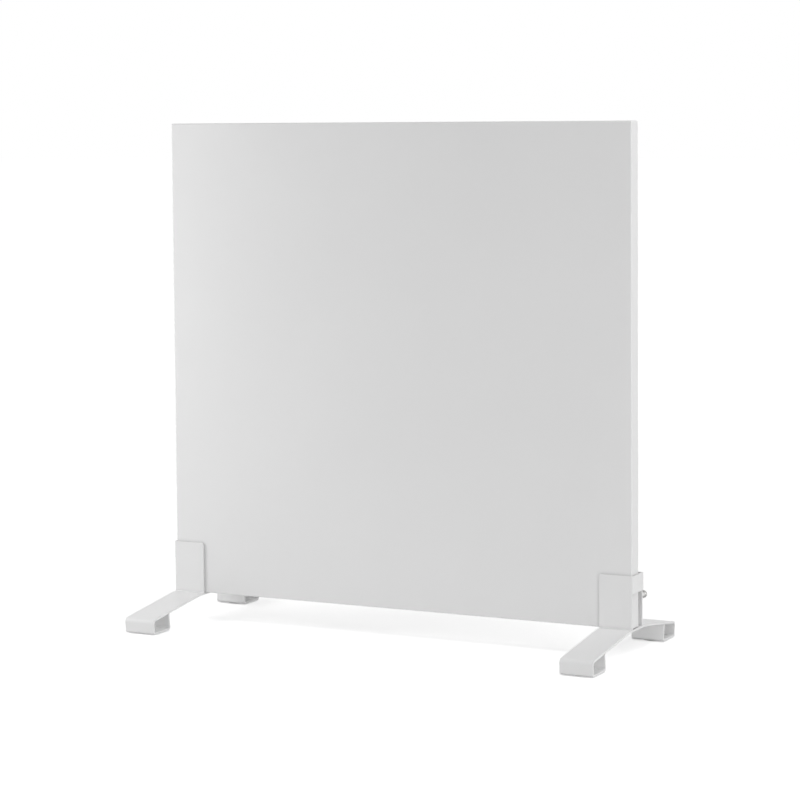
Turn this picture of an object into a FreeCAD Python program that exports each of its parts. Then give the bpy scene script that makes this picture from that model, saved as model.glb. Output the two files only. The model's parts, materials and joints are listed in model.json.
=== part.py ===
import FreeCAD, Part
import math
import os
import types

import Sketcher

# Free-standing panel heater: a flat panel folded from sheet steel, with a film element inside,
# on two clamp-on feet of bent steel strip.
# Millimetres. +Z is up and the panel's front faces -Y. The origin is on the floor, midway
# between the two feet and midway along them.

# Driving dimensions; a name that ends in count is a number of pieces
SIZES = (
    # Front panel, a tray folded from one sheet
    ("panel_width", 600.0),
    ("panel_height", 573.0),
    ("panel_depth", 20.0),
    ("tray_sheet", 1.0),
    ("tray_bend", 1.6),
    ("corner_ease", 0.4),
    ("lip_width", 14.0),
    # Rear cover with its raised field
    ("cover_sheet", 0.8),
    ("cover_margin", 2.0),
    ("cover_corner", 5.0),
    ("field_margin", 60.0),
    ("field_corner", 20.0),
    ("field_rise", 2.5),
    ("field_flare", 2.5),
    # Screws through the cover into the tray's lips
    ("cover_screw_shank", 2.9),
    ("cover_screw_length", 8.0),
    ("cover_screw_head", 6.5),
    ("cover_screw_head_height", 2.0),
    ("cover_screw_inset", 7.0),
    ("side_screw_count", 3),
    ("side_screw_end", 95.0),
    ("edge_screw_count", 4),
    ("edge_screw_end", 68.0),
    # Heating element and what lies behind it
    ("element_margin", 10.0),
    ("mica_sheet", 0.5),
    ("film_sheet", 0.5),
    ("bus_bar_width", 12.0),
    ("foil_margin", 25.0),
    ("foil_sheet", 0.2),
    ("board_margin", 4.0),
    ("board_gap", 0.2),
    # Over-temperature switch
    ("cutout_offset", 80.0),
    ("cutout_cap", 16.0),
    ("cutout_cap_height", 4.5),
    ("cutout_body", 13.0),
    ("cutout_body_height", 6.0),
    ("spade_reach", 14.0),
    ("spade_width", 6.3),
    ("spade_sheet", 0.8),
    # Wiring
    ("lead_diameter", 2.2),
    ("lead_bend", 4.0),
    ("lead_room", 1.0),
    ("grommet_barrel", 6.0),
    ("grommet_flange", 8.4),
    ("grommet_flange_height", 1.0),
    # Terminal box on the raised field
    ("box_width", 84.0),
    ("box_height", 56.0),
    ("box_depth", 24.0),
    ("box_wall", 2.0),
    ("box_corner", 5.0),
    ("box_rise", 84.0),
    ("post_diameter", 7.0),
    ("post_inset", 5.0),
    ("lid_sheet", 2.5),
    ("lid_edge", 1.2),
    ("small_screw_shank", 2.4),
    ("small_screw_length", 9.0),
    ("small_screw_head", 5.0),
    ("small_screw_head_height", 1.4),
    ("box_screw_offset", 28.0),
    ("box_screw_length", 4.0),
    # Terminal block
    ("pole_pitch", 10.0),
    ("pole_end", 7.0),
    ("block_height", 17.0),
    ("block_depth", 13.0),
    ("block_drop", 8.0),
    ("tunnel_diameter", 3.4),
    ("tunnel_height", 4.5),
    ("tunnel_grip", 5.0),
    ("pole_screw", 3.2),
    ("pole_screw_length", 5.0),
    ("pole_screw_offset", 4.5),
    ("pole_slot_width", 0.6),
    ("pole_slot_depth", 1.2),
    ("pole_notch", 3.3),
    # Earth connection
    ("wire_hole_drop", 13.0),
    ("earth_shank", 4.0),
    ("earth_head", 7.0),
    ("earth_head_height", 2.6),
    ("earth_nut_flats", 7.0),
    ("earth_nut_height", 3.2),
    ("lug_diameter", 9.0),
    ("lug_sheet", 0.8),
    ("lug_barrel", 3.8),
    ("lug_barrel_length", 4.0),
    # Cable gland under the terminal box
    ("gland_thread", 12.0),
    ("gland_flats", 15.0),
    ("gland_flange_height", 5.0),
    ("gland_neck", 8.0),
    ("gland_stub_spare", 2.0),
    ("locknut_height", 4.0),
    ("seal_diameter", 8.2),
    ("seal_length", 9.0),
    ("cable_diameter", 6.6),
    ("cap_skirt", 8.0),
    ("cap_dome", 5.0),
    ("cap_nose", 10.4),
    ("cap_gap", 1.0),
    ("cap_clearance", 0.5),
    # Threaded inserts for a wall bracket
    ("insert_side_distance", 100.0),
    ("insert_end_distance", 136.5),
    ("insert_thread", 6.0),
    ("insert_barrel", 9.0),
    ("insert_length", 11.0),
    ("insert_flange", 12.0),
    ("insert_flange_height", 0.8),
    # Feet of bent strip
    ("strip_width", 40.0),
    ("strip_sheet", 2.5),
    ("foot_height", 31.3),
    ("foot_centre", 8.0),
    ("end_reach", 125.3),
    ("leg_drop", 13.4),
    ("leg_setback", 8.0),
    ("leg_bend", 100.0),
    ("end_bend", 4.0),
    ("base_bend", 1.8),
    ("base_length", 34.75),
    ("heel_bend", 3.0),
    ("fold_gap", 0.3),
    ("pad_sheet", 1.0),
    ("pad_diameter", 26.0),
    # Corner clips
    ("clip_sheet", 2.5),
    ("clip_height", 61.5),
    ("clip_corner", 2.5),
    ("clip_bend", 1.0),
    ("band_height", 20.0),
    ("band_step", 2.0),
    ("band_relief", 1.5),
    ("weld_leg", 1.5),
    ("side_gap", 0.4),
    ("front_gap", 0.15),
    ("seat_gap", 0.2),
    ("clamp_space", 6.7),
    # Clamp screws with their nuts and swivel pads
    ("screw_edge_distance", 8.0),
    ("screw_height", 31.7),
    ("screw_shank", 5.0),
    ("screw_length", 28.0),
    ("screw_head", 9.0),
    ("screw_head_height", 3.6),
    ("screw_head_rim", 1.2),
    ("recess_span", 5.0),
    ("recess_width", 1.2),
    ("recess_depth", 1.8),
    ("tip_diameter", 3.5),
    ("tip_length", 1.5),
    ("clamp_pad", 8.0),
    ("clamp_pad_height", 3.0),
    ("clamp_gap", 0.2),
    ("nut_flats", 8.0),
    ("nut_height", 4.0),
    # Clearances
    ("running_clearance", 0.05),
    ("fit_clearance", 0.1),
    ("hole_clearance", 0.25),
)

# How far a cut runs past the face it starts from
OVERCUT = 1.0
# Two coordinates nearer than this are the same
SAME = 1e-4

doc = FreeCAD.newDocument("panel_heater")
sizes = doc.addObject("Spreadsheet::Sheet", "sizes")
places = doc.addObject("Spreadsheet::Sheet", "places")
pieces = []


class Size:
    """A value that keeps its number together with the expression that gives it."""

    def __init__(self, number, text):
        self.number = number
        self.text = text

    def __add__(self, other):
        other = as_size(other)
        return Size(self.number + other.number, f"({self.text} + {other.text})")

    def __sub__(self, other):
        other = as_size(other)
        return Size(self.number - other.number, f"({self.text} - {other.text})")

    def __mul__(self, other):
        other = as_size(other)
        return Size(self.number * other.number, f"({self.text} * {other.text})")

    def __truediv__(self, other):
        other = as_size(other)
        return Size(self.number / other.number, f"({self.text} / {other.text})")

    def __neg__(self):
        return Size(-self.number, f"(-{self.text})")


def as_size(value):
    """A plain number as a Size."""
    if isinstance(value, Size):
        return value
    return Size(float(value), str(float(value)))


def root(value):
    """Square root of a Size."""
    value = as_size(value)
    return Size(math.sqrt(value.number), f"sqrt({value.text})")


def slope_angle(rise, run):
    """Angle in degrees of a slope."""
    angle = math.degrees(math.atan2(rise.number, run.number))
    return Size(angle, f"atan({rise.text} / {run.text})")


def read_sizes():
    """Fill the sheet of driving dimensions and give each one back by its name."""
    named_sizes = {}
    for row, (name, value) in enumerate(SIZES, start=1):
        sizes.set(f"A{row}", name)
        sizes.set(f"B{row}", str(value))
        sizes.setAlias(f"B{row}", name)
        named_sizes[name] = Size(value, f"sizes.{name}")
    return types.SimpleNamespace(**named_sizes)


def place(name, value):
    """Keep a worked-out position in the second sheet, under its own name."""
    row = len(place.names) + 1
    place.names.append(name)
    places.set(f"A{row}", name)
    places.set(f"B{row}", "=" + value.text)
    places.setAlias(f"B{row}", name)
    return Size(value.number, f"places.{name}")


place.names = []

S = read_sizes()

# Levels across the panel, from its front face to the back of the terminal box's floor
PANEL_FRONT = place("panel_front", -S.foot_centre)
TRAY_REAR = place("tray_rear", PANEL_FRONT + S.panel_depth)
COVER_REAR = place("cover_rear", TRAY_REAR + S.cover_sheet)
FIELD_REAR = place("field_rear", COVER_REAR + S.field_rise)
FIELD_FRONT = place("field_front", FIELD_REAR - S.cover_sheet)
BOX_FLOOR = place("box_floor", FIELD_REAR + S.box_wall)
BOX_REAR = place("box_rear", FIELD_REAR + S.box_depth)
MICA_REAR = place("mica_rear", PANEL_FRONT + S.tray_sheet + S.mica_sheet)
FILM_REAR = place("film_rear", MICA_REAR + S.film_sheet)
BACK_MICA_REAR = place("back_mica_rear", FILM_REAR + S.mica_sheet)
FOIL_REAR = place("foil_rear", BACK_MICA_REAR + S.foil_sheet)
BOARD_REAR = place("board_rear", TRAY_REAR - S.tray_sheet - S.board_gap)

# Heights
SADDLE_TOP = place("saddle_top", S.pad_sheet + S.foot_height)
PANEL_BOTTOM = place("panel_bottom", SADDLE_TOP + S.seat_gap)
PANEL_TOP = place("panel_top", PANEL_BOTTOM + S.panel_height)
PANEL_MIDDLE = place("panel_middle", PANEL_BOTTOM + S.panel_height / 2)
BOX_BOTTOM = place("box_bottom", PANEL_BOTTOM + S.box_rise)
BOX_TOP = place("box_top", BOX_BOTTOM + S.box_height)
WIRE_HEIGHT = place("wire_height", BOX_TOP - S.wire_hole_drop)
BLOCK_MIDDLE = place("block_middle", BOX_BOTTOM + S.box_height / 2 - S.block_drop)
BLOCK_TOP = place("block_top", BLOCK_MIDDLE + S.block_height / 2)

# Sideways places, on the right-hand side
PANEL_SIDE = place("panel_side", S.panel_width / 2)
BAND_INNER = place("band_inner", PANEL_SIDE + S.side_gap)
BAND_OUTER = place("band_outer", BAND_INNER + S.clip_sheet)
PLATE_OUTER = place("plate_outer", BAND_OUTER - S.band_step)
PLATE_INNER = place("plate_inner", PLATE_OUTER - S.strip_width)
STRIP_MIDDLE = place("strip_middle", PLATE_OUTER - S.strip_width / 2)
BUS_BAR_SIDE = place("bus_bar_side", PANEL_SIDE - S.element_margin - S.bus_bar_width / 2)

# Wire level inside the panel, at the middle of the cut-out's spades
WIRE_DEPTH = place("wire_depth", FOIL_REAR + S.cutout_cap_height + S.cutout_body_height / 2)
TUNNEL_DEPTH = place("tunnel_depth", BOX_FLOOR + S.tunnel_height)
GLAND_DEPTH = place("gland_depth", FIELD_REAR + S.box_depth / 2)

# Faces of the clips
FRONT_PLATE_BACK = place("front_plate_back", PANEL_FRONT - S.front_gap)
FRONT_PLATE_FACE = place("front_plate_face", FRONT_PLATE_BACK - S.clip_sheet)
REAR_PLATE_FRONT = place("rear_plate_front", COVER_REAR + S.clamp_space)
REAR_PLATE_BACK = place("rear_plate_back", REAR_PLATE_FRONT + S.clip_sheet)
CLIP_TOP = place("clip_top", PANEL_BOTTOM + S.clip_height)

# Clamp screw's axis and the levels along it
SCREW_SIDE = place("screw_side", PLATE_OUTER - S.screw_edge_distance)
SCREW_HEIGHT = place("screw_axis_height", PANEL_BOTTOM + S.screw_height)
CLAMP_PAD_FRONT = place("clamp_pad_front", COVER_REAR + S.clamp_gap)
CLAMP_PAD_BACK = place("clamp_pad_back", CLAMP_PAD_FRONT + S.clamp_pad_height)
SHANK_START = place("shank_start", CLAMP_PAD_BACK + S.fit_clearance)
SCREW_HEAD_FACE = place("screw_head_face", SHANK_START + S.screw_length)

# Origin planes, each with the sign of its normal along the axis it faces
PLANES = {"XY": 1, "XZ": -1, "YZ": 1}


def bind(thing, path, value):
    """Tie one property to the expression of a Size."""
    thing.setExpression(path, as_size(value).text)


def keep(piece, label):
    """Name a finished piece and put it on the list of pieces to write."""
    piece.Label = label
    pieces.append(piece)
    return piece


def new_body(name):
    """Empty body."""
    return doc.addObject("PartDesign::Body", name)


def new_sketch(body, plane, level=0.0, centre=(0.0, 0.0)):
    """Sketch parallel to an origin plane, at a level along that plane's axis."""
    sketch = body.newObject("Sketcher::SketchObject", "sketch")
    support = [item for item in body.Origin.OriginFeatures if item.Role == plane + "_Plane"]
    sketch.AttachmentSupport = [(support[0], "")]
    sketch.MapMode = "FlatFace"
    bind(sketch, "AttachmentOffset.Base.x", centre[0])
    bind(sketch, "AttachmentOffset.Base.y", centre[1])
    bind(sketch, "AttachmentOffset.Base.z", as_size(level) * PLANES[plane])
    return sketch


def fix_point(sketch, item, end, spot):
    """Hold a point of the sketch at a spot given by two Sizes."""
    for kind, value in zip(("DistanceX", "DistanceY"), spot):
        value = as_size(value)
        row = sketch.addConstraint(Sketcher.Constraint(kind, -1, 1, item, end, value.number))
        bind(sketch, f"Constraints[{row}]", value)


def outline(sketch, corners, closed=True):
    """Straight runs through the corners; a third value on a corner is its bend radius."""
    spots = [FreeCAD.Vector(as_size(c[0]).number, as_size(c[1]).number, 0) for c in corners]
    count = len(corners)
    arrive, leave = list(spots), list(spots)
    for i, corner in enumerate(corners):
        if len(corner) > 2:
            back = (spots[i - 1] - spots[i]).normalize()
            ahead = (spots[(i + 1) % count] - spots[i]).normalize()
            cut = corner[2].number / math.tan(back.getAngle(ahead) / 2)
            arrive[i] = spots[i] + back * cut
            leave[i] = spots[i] + ahead * cut
    runs = []
    for i in range(count if closed else count - 1):
        run = Part.LineSegment(leave[i], arrive[(i + 1) % count])
        runs.append(sketch.addGeometry(run, False))
    for i, corner in enumerate(corners):
        if not closed and i == count - 1:
            fix_point(sketch, runs[-1], 2, corner)
        elif not closed and i == 0:
            fix_point(sketch, runs[0], 1, corner)
        elif len(corner) > 2:
            bend_corner(sketch, runs[i - 1], runs[i], corner, (arrive[i], leave[i]))
        else:
            sketch.addConstraint(Sketcher.Constraint("Coincident", runs[i - 1], 2, runs[i], 1))
            fix_point(sketch, runs[i], 1, corner)


def bend_corner(sketch, before, after, corner, tangents):
    """Arc between two runs, tangent to both, whose unbent corner stays where it is given."""
    start, end = tangents
    spot = FreeCAD.Vector(as_size(corner[0]).number, as_size(corner[1]).number, 0)
    middle = (start + end) / 2
    out = (spot - middle).normalize()
    half = (end - start).Length / 2
    radius = corner[2].number
    crown = middle + out * (radius - math.sqrt(radius**2 - half**2))
    arc = sketch.addGeometry(Part.Arc(start, crown, end), False)
    first = 1 if (sketch.getPoint(arc, 1) - start).Length < SAME else 2
    sketch.addConstraint(Sketcher.Constraint("Tangent", before, 2, arc, first))
    sketch.addConstraint(Sketcher.Constraint("Tangent", arc, 3 - first, after, 1))
    row = sketch.addConstraint(Sketcher.Constraint("Radius", arc, radius))
    bind(sketch, f"Constraints[{row}]", corner[2])
    point = sketch.addGeometry(Part.Point(spot), True)
    for run in (before, after):
        sketch.addConstraint(Sketcher.Constraint("PointOnObject", point, 1, run))
    fix_point(sketch, point, 1, corner)


def rectangle(left, bottom, right, top, radius=None):
    """Corners of an upright rectangle, rounded if a radius is given."""
    spots = ((left, bottom), (right, bottom), (right, top), (left, top))
    return [spot + (radius,) if radius else spot for spot in spots]


def hexagon(flats):
    """Corners of a hexagon about the sketch's own origin, with two flats upright."""
    side = flats / root(3)
    half = flats / 2
    return [
        (half, -side / 2),
        (half, side / 2),
        (as_size(0), side),
        (-half, side / 2),
        (-half, -side / 2),
        (as_size(0), -side),
    ]


def circles(sketch, spots, diameter):
    """Equal circles at the spots."""
    for spot in spots:
        centre = FreeCAD.Vector(as_size(spot[0]).number, as_size(spot[1]).number, 0)
        ring = Part.Circle(centre, FreeCAD.Vector(0, 0, 1), diameter.number / 2)
        item = sketch.addGeometry(ring, False)
        row = sketch.addConstraint(Sketcher.Constraint("Diameter", item, diameter.number))
        bind(sketch, f"Constraints[{row}]", diameter)
        fix_point(sketch, item, 3, spot)


def plane_sign(sketch):
    """Sign of a sketch's normal along the axis that it faces."""
    return PLANES[sketch.AttachmentSupport[0][0].Role[:2]]


def pad(body, sketch, length, towards=1, taper=None):
    """Raise a sketch into a solid, towards the plus or minus end of its axis."""
    feature = body.newObject("PartDesign::Pad", "pad")
    feature.Profile = sketch
    bind(feature, "Length", length)
    feature.Reversed = towards != plane_sign(sketch)
    if taper:
        bind(feature, "TaperAngle", taper)
    return feature


def pocket(body, sketch, length, towards=1, taper=None):
    """Cut a sketch out of the body, and make sure that something was cut."""
    doc.recompute()
    before = body.Shape.Volume
    feature = body.newObject("PartDesign::Pocket", "pocket")
    feature.Profile = sketch
    bind(feature, "Length", length)
    feature.Reversed = towards == plane_sign(sketch)
    if taper:
        bind(feature, "TaperAngle", taper)
    doc.recompute()
    if not body.Shape.Volume < before - SAME:
        raise RuntimeError(f"{body.Name}: {feature.Name} cuts nothing")
    return feature


def drill(body, plane, level, spots, diameter, depth, towards=1):
    """Round holes of one size from a level of the plane's axis."""
    sketch = new_sketch(body, plane, level)
    circles(sketch, spots, diameter)
    return pocket(body, sketch, depth, towards)


def round_edges(body, radius, wanted):
    """Round the edges of the body so far that the test picks out."""
    doc.recompute()
    base = body.Tip
    names = [f"Edge{i}" for i, edge in enumerate(base.Shape.Edges, start=1) if wanted(edge)]
    if not names:
        raise RuntimeError(f"{body.Name}: no edges to round")
    feature = body.newObject("PartDesign::Fillet", "rounding")
    feature.Base = (base, names)
    bind(feature, "Radius", radius)
    doc.recompute()
    return feature


def lies_at(**level):
    """Test for edges that lie wholly at the given coordinates, such as Y=0."""

    def test(edge):
        return all(
            abs(getattr(vertex, axis) - value.number) < SAME
            for vertex in edge.Vertexes
            for axis, value in level.items()
        )

    return test


def turn(body, plane, centre, level, profile):
    """Revolve a closed half-profile of (radius, distance along the axis) about its axis."""
    sketch = new_sketch(body, plane, level, (centre, 0.0))
    outline(sketch, profile)
    feature = body.newObject("PartDesign::Revolution", "turned")
    feature.Profile = sketch
    feature.ReferenceAxis = (sketch, ["V_Axis"])
    feature.Angle = 360.0
    return feature


def ring(inner, outer, start, end):
    """Half-profile of a plain ring or, with no inner radius, of a disc."""
    return rectangle(inner, start, outer, end)


def block(name, low, high):
    """Rectangular solid between two opposite corners."""
    solid = doc.addObject("Part::Box", name)
    for side, start, end in zip(("Length", "Width", "Height"), low, high):
        bind(solid, side, as_size(end) - start)
    for axis, start in zip("xyz", low):
        bind(solid, f"Placement.Base.{axis}", start)
    return solid


def rod(name, side, start, height, diameter, length):
    """Cylinder along +Y."""
    solid = doc.addObject("Part::Cylinder", name)
    solid.Placement.Rotation = FreeCAD.Rotation(FreeCAD.Vector(1, 0, 0), -90)
    bind(solid, "Radius", diameter / 2)
    bind(solid, "Height", length)
    for axis, value in zip("xyz", (side, start, height)):
        bind(solid, f"Placement.Base.{axis}", value)
    return solid


def cut(name, base, tools):
    """The base without the tools."""
    joined = tools[0]
    if len(tools) > 1:
        joined = doc.addObject("Part::MultiFuse", name + "_tools")
        joined.Shapes = tools
    result = doc.addObject("Part::Cut", name)
    result.Base = base
    result.Tool = joined
    return result


def group(label, master, spots):
    """One node of like pieces: the master's solid copied to each spot."""
    doc.recompute()
    copies = []
    for spot in spots:
        copy = master.Shape.copy()
        copy.translate(FreeCAD.Vector(*[as_size(value).number for value in spot]))
        copies.append(copy)
    node = doc.addObject("Part::Feature", label)
    node.Shape = Part.makeCompound(copies)
    return keep(node, label)


def both_sides(piece, name):
    """Keep a right-hand piece and its mirror image on the left."""
    keep(piece, "right_" + name)
    twin = doc.addObject("Part::Mirroring", "left_" + name)
    twin.Source = piece
    twin.Normal = FreeCAD.Vector(1, 0, 0)
    return keep(twin, "left_" + name)


# Places of the repeated holes and fasteners


def cover_screw_spots():
    """Screw places around the lips, as (sideways, height) pairs."""
    side = PANEL_SIDE - S.cover_screw_inset
    low = PANEL_BOTTOM + S.cover_screw_inset
    high = PANEL_TOP - S.cover_screw_inset
    spots = []
    side_count = int(S.side_screw_count.number)
    side_pitch = (S.panel_height - S.side_screw_end * 2) / (S.side_screw_count - 1)
    for i in range(side_count):
        height = PANEL_BOTTOM + S.side_screw_end + side_pitch * i
        spots += [(-side, height), (side, height)]
    edge_count = int(S.edge_screw_count.number)
    edge_pitch = (S.panel_width - S.edge_screw_end * 2) / (S.edge_screw_count - 1)
    for i in range(edge_count):
        across = S.edge_screw_end - PANEL_SIDE + edge_pitch * i
        spots += [(across, low), (across, high)]
    return spots


def insert_spots():
    """Places of the threaded inserts on the raised field."""
    side = PANEL_SIDE - S.insert_side_distance
    low = PANEL_BOTTOM + S.insert_end_distance
    high = PANEL_TOP - S.insert_end_distance
    return [(-side, low), (side, low), (-side, high), (side, high)]


def post_spots():
    """Places of the lid's screw posts in the corners of the terminal box."""
    side = S.box_width / 2 - S.post_inset
    low = BOX_BOTTOM + S.post_inset
    high = BOX_TOP - S.post_inset
    return [(-side, low), (side, low), (-side, high), (side, high)]


def box_screw_spots():
    """Places of the screws that hold the terminal box to the cover."""
    return [(-S.box_screw_offset, BLOCK_MIDDLE), (S.box_screw_offset, BLOCK_MIDDLE)]


def wire_spots():
    """Places where the live and neutral leads pass into the panel."""
    return [(-S.pole_pitch, WIRE_HEIGHT), (S.pole_pitch, WIRE_HEIGHT)]


# Panel


def front_panel():
    """Tray with rounded bends and corners, and with lips turned in at the back."""
    body = new_body("front_panel")
    corner = S.tray_bend + S.corner_ease
    face = new_sketch(body, "XZ", PANEL_FRONT)
    outline(face, rectangle(-PANEL_SIDE, PANEL_BOTTOM, PANEL_SIDE, PANEL_TOP, corner))
    pad(body, face, S.panel_depth)
    round_edges(body, S.tray_bend, lies_at(Y=PANEL_FRONT))
    round_edges(body, S.tray_bend, lies_at(Y=TRAY_REAR))
    inside = PANEL_SIDE - S.tray_sheet
    hollow = new_sketch(body, "XZ", PANEL_FRONT + S.tray_sheet)
    outline(hollow, rectangle(-inside, PANEL_BOTTOM + S.tray_sheet, inside, PANEL_TOP - S.tray_sheet,
                              corner - S.tray_sheet))
    pocket(body, hollow, S.panel_depth - S.tray_sheet * 2)
    mouth = PANEL_SIDE - S.lip_width
    opening = new_sketch(body, "XZ", TRAY_REAR - S.tray_sheet - OVERCUT)
    outline(opening, rectangle(-mouth, PANEL_BOTTOM + S.lip_width, mouth, PANEL_TOP - S.lip_width))
    pocket(body, opening, S.tray_sheet + OVERCUT * 2)
    pilot = S.cover_screw_shank + S.running_clearance * 2
    drill(body, "XZ", TRAY_REAR - S.tray_sheet - OVERCUT, cover_screw_spots(), pilot,
          S.tray_sheet + OVERCUT * 2)
    keep(body, "front_panel")


def heating_element():
    """Film between two mica sheets, with a copper bus bar along each upright edge."""
    side = PANEL_SIDE - S.element_margin
    low = PANEL_BOTTOM + S.element_margin
    high = PANEL_TOP - S.element_margin
    film_side = side - S.bus_bar_width
    keep(block("front_mica", (-side, PANEL_FRONT + S.tray_sheet, low), (side, MICA_REAR, high)),
         "front_mica_sheet")
    keep(block("film", (-film_side, MICA_REAR, low), (film_side, FILM_REAR, high)),
         "heating_film")
    keep(block("bar_left", (-side, MICA_REAR, low), (-film_side, FILM_REAR, high)),
         "left_bus_bar")
    keep(block("bar_right", (film_side, MICA_REAR, low), (side, FILM_REAR, high)),
         "right_bus_bar")
    sheet = block("back_mica", (-side, FILM_REAR, low), (side, BACK_MICA_REAR, high))
    window = S.lead_diameter + S.lead_room * 2
    windows = [
        rod("mica_window", across, FILM_REAR - OVERCUT, WIRE_HEIGHT, window,
            S.mica_sheet + OVERCUT * 2)
        for across in (-BUS_BAR_SIDE, BUS_BAR_SIDE)
    ]
    keep(cut("back_mica_sheet", sheet, windows), "rear_mica_sheet")


def reflector_foil():
    """Foil that sends the heat forwards, clear of the bus bars."""
    side = PANEL_SIDE - S.foil_margin
    low = PANEL_BOTTOM + S.foil_margin
    high = PANEL_TOP - S.foil_margin
    keep(block("foil", (-side, BACK_MICA_REAR, low), (side, FOIL_REAR, high)), "reflector_foil")


def insulation_board():
    """Board that fills the tray, with room for the wires, the cut-out and what hangs inside."""
    side = PANEL_SIDE - S.board_margin
    low = PANEL_BOTTOM + S.board_margin
    high = PANEL_TOP - S.board_margin
    board = block("board", (-side, FOIL_REAR, low), (side, BOARD_REAR, high))
    channel = S.lead_diameter / 2 + S.lead_room
    end = BUS_BAR_SIDE + channel
    floor = WIRE_DEPTH - channel
    back = BOARD_REAR + OVERCUT
    tools = [
        block("wire_channel", (-end, floor, WIRE_HEIGHT - channel), (end, back, WIRE_HEIGHT + channel))
    ]
    for across in (-BUS_BAR_SIDE, BUS_BAR_SIDE):
        tools.append(rod("bar_window", across, FOIL_REAR - OVERCUT, WIRE_HEIGHT, channel * 2,
                         back - FOIL_REAR + OVERCUT))
    switch_room = S.cutout_cap + S.lead_room * 2
    tools.append(rod("switch_pocket", -S.cutout_offset, FOIL_REAR - OVERCUT, WIRE_HEIGHT, switch_room,
                     back - FOIL_REAR + OVERCUT))
    reach = S.spade_reach + S.lead_room
    half = S.spade_width / 2 + S.lead_room
    tools.append(block("spade_pocket", (-S.cutout_offset - reach, floor, WIRE_HEIGHT - half),
                       (-S.cutout_offset + reach, back, WIRE_HEIGHT + half)))
    insert_floor = FIELD_REAR - S.insert_length - S.lead_room
    for across, height in insert_spots():
        tools.append(rod("insert_pocket", across, insert_floor, height,
                         S.insert_barrel + S.lead_room * 2, back - insert_floor))
    tip_floor = COVER_REAR - S.cover_screw_length - S.lead_room
    for across, height in cover_screw_spots():
        tools.append(rod("tip_pocket", across, tip_floor, height, S.cover_screw_shank + S.lead_room,
                         back - tip_floor))
    nut_floor = FIELD_FRONT - S.earth_nut_height - S.lead_room * 2
    tools.append(rod("nut_pocket", as_size(0), nut_floor, WIRE_HEIGHT,
                     S.earth_nut_flats + S.lead_room * 3, back - nut_floor))
    keep(cut("cut_board", board, tools), "insulation_board")


def thermal_cutout():
    """Disc thermostat against the foil: metal cap, round body and two spade terminals."""
    body = new_body("thermal_cutout")
    cap_rear = FOIL_REAR + S.cutout_cap_height
    body_rear = cap_rear + S.cutout_body_height
    profile = [
        (as_size(0), FOIL_REAR),
        (S.cutout_cap / 2, FOIL_REAR),
        (S.cutout_cap / 2, cap_rear),
        (S.cutout_body / 2, cap_rear),
        (S.cutout_body / 2, body_rear),
        (as_size(0), body_rear),
    ]
    turn(body, "XY", -S.cutout_offset, WIRE_HEIGHT, profile)
    spades = new_sketch(body, "XZ", WIRE_DEPTH - S.spade_sheet / 2, (-S.cutout_offset, WIRE_HEIGHT))
    half = S.spade_width / 2
    outline(spades, rectangle(-S.spade_reach, -half, S.spade_reach, half))
    pad(body, spades, S.spade_sheet)
    keep(body, "thermal_cutout")


def rear_cover():
    """Back sheet with a drawn field that stiffens it, on the tray's lips."""
    body = new_body("rear_cover")
    side = PANEL_SIDE - S.cover_margin
    low = PANEL_BOTTOM + S.cover_margin
    high = PANEL_TOP - S.cover_margin
    sheet = new_sketch(body, "XZ", TRAY_REAR)
    outline(sheet, rectangle(-side, low, side, high, S.cover_corner))
    pad(body, sheet, S.cover_sheet)
    flare = -slope_angle(S.field_flare, S.field_rise)
    field_side = side - S.field_margin
    field_low = low + S.field_margin
    field_high = high - S.field_margin
    field = new_sketch(body, "XZ", COVER_REAR)
    outline(field, rectangle(-field_side, field_low, field_side, field_high, S.field_corner))
    pad(body, field, S.field_rise, taper=flare)
    slope = root(S.field_rise * S.field_rise + S.field_flare * S.field_flare)
    step = S.cover_sheet * (slope - S.field_flare) / S.field_rise
    dish = new_sketch(body, "XZ", TRAY_REAR)
    outline(dish, rectangle(step - field_side, field_low + step, field_side - step, field_high - step,
                            S.field_corner - step))
    pocket(body, dish, S.field_rise, taper=flare)
    through = S.cover_sheet + OVERCUT * 2
    drill(body, "XZ", TRAY_REAR - OVERCUT, cover_screw_spots(),
          S.cover_screw_shank + S.hole_clearance * 2, through)
    start = FIELD_FRONT - OVERCUT
    drill(body, "XZ", start, insert_spots(), S.insert_barrel + S.fit_clearance * 2, through)
    drill(body, "XZ", start, wire_spots(), S.grommet_barrel + S.fit_clearance * 2, through)
    drill(body, "XZ", start, [(as_size(0), WIRE_HEIGHT)], S.earth_shank + S.hole_clearance * 2, through)
    drill(body, "XZ", start, box_screw_spots(), S.small_screw_shank + S.running_clearance * 2, through)
    keep(body, "rear_cover")


def pan_screw(name, shank, length, head, head_height, seat):
    """Pan-head screw on the Y axis, its head behind the seat and its shank in front of it."""
    body = new_body(name)
    zero = as_size(0)
    profile = [
        (zero, seat - length),
        (shank / 2, seat - length),
        (shank / 2, seat),
        (head / 2, seat),
        (head / 2, seat + head_height / 2),
        (head / 2 - head_height / 2, seat + head_height),
        (zero, seat + head_height),
    ]
    turn(body, "XY", zero, zero, profile)
    return body


def cover_screws():
    """Screws through the cover's rim into the lips."""
    master = pan_screw("cover_screw", S.cover_screw_shank, S.cover_screw_length, S.cover_screw_head,
                       S.cover_screw_head_height, COVER_REAR)
    group("cover_screws", master, [(across, 0, height) for across, height in cover_screw_spots()])


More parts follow.
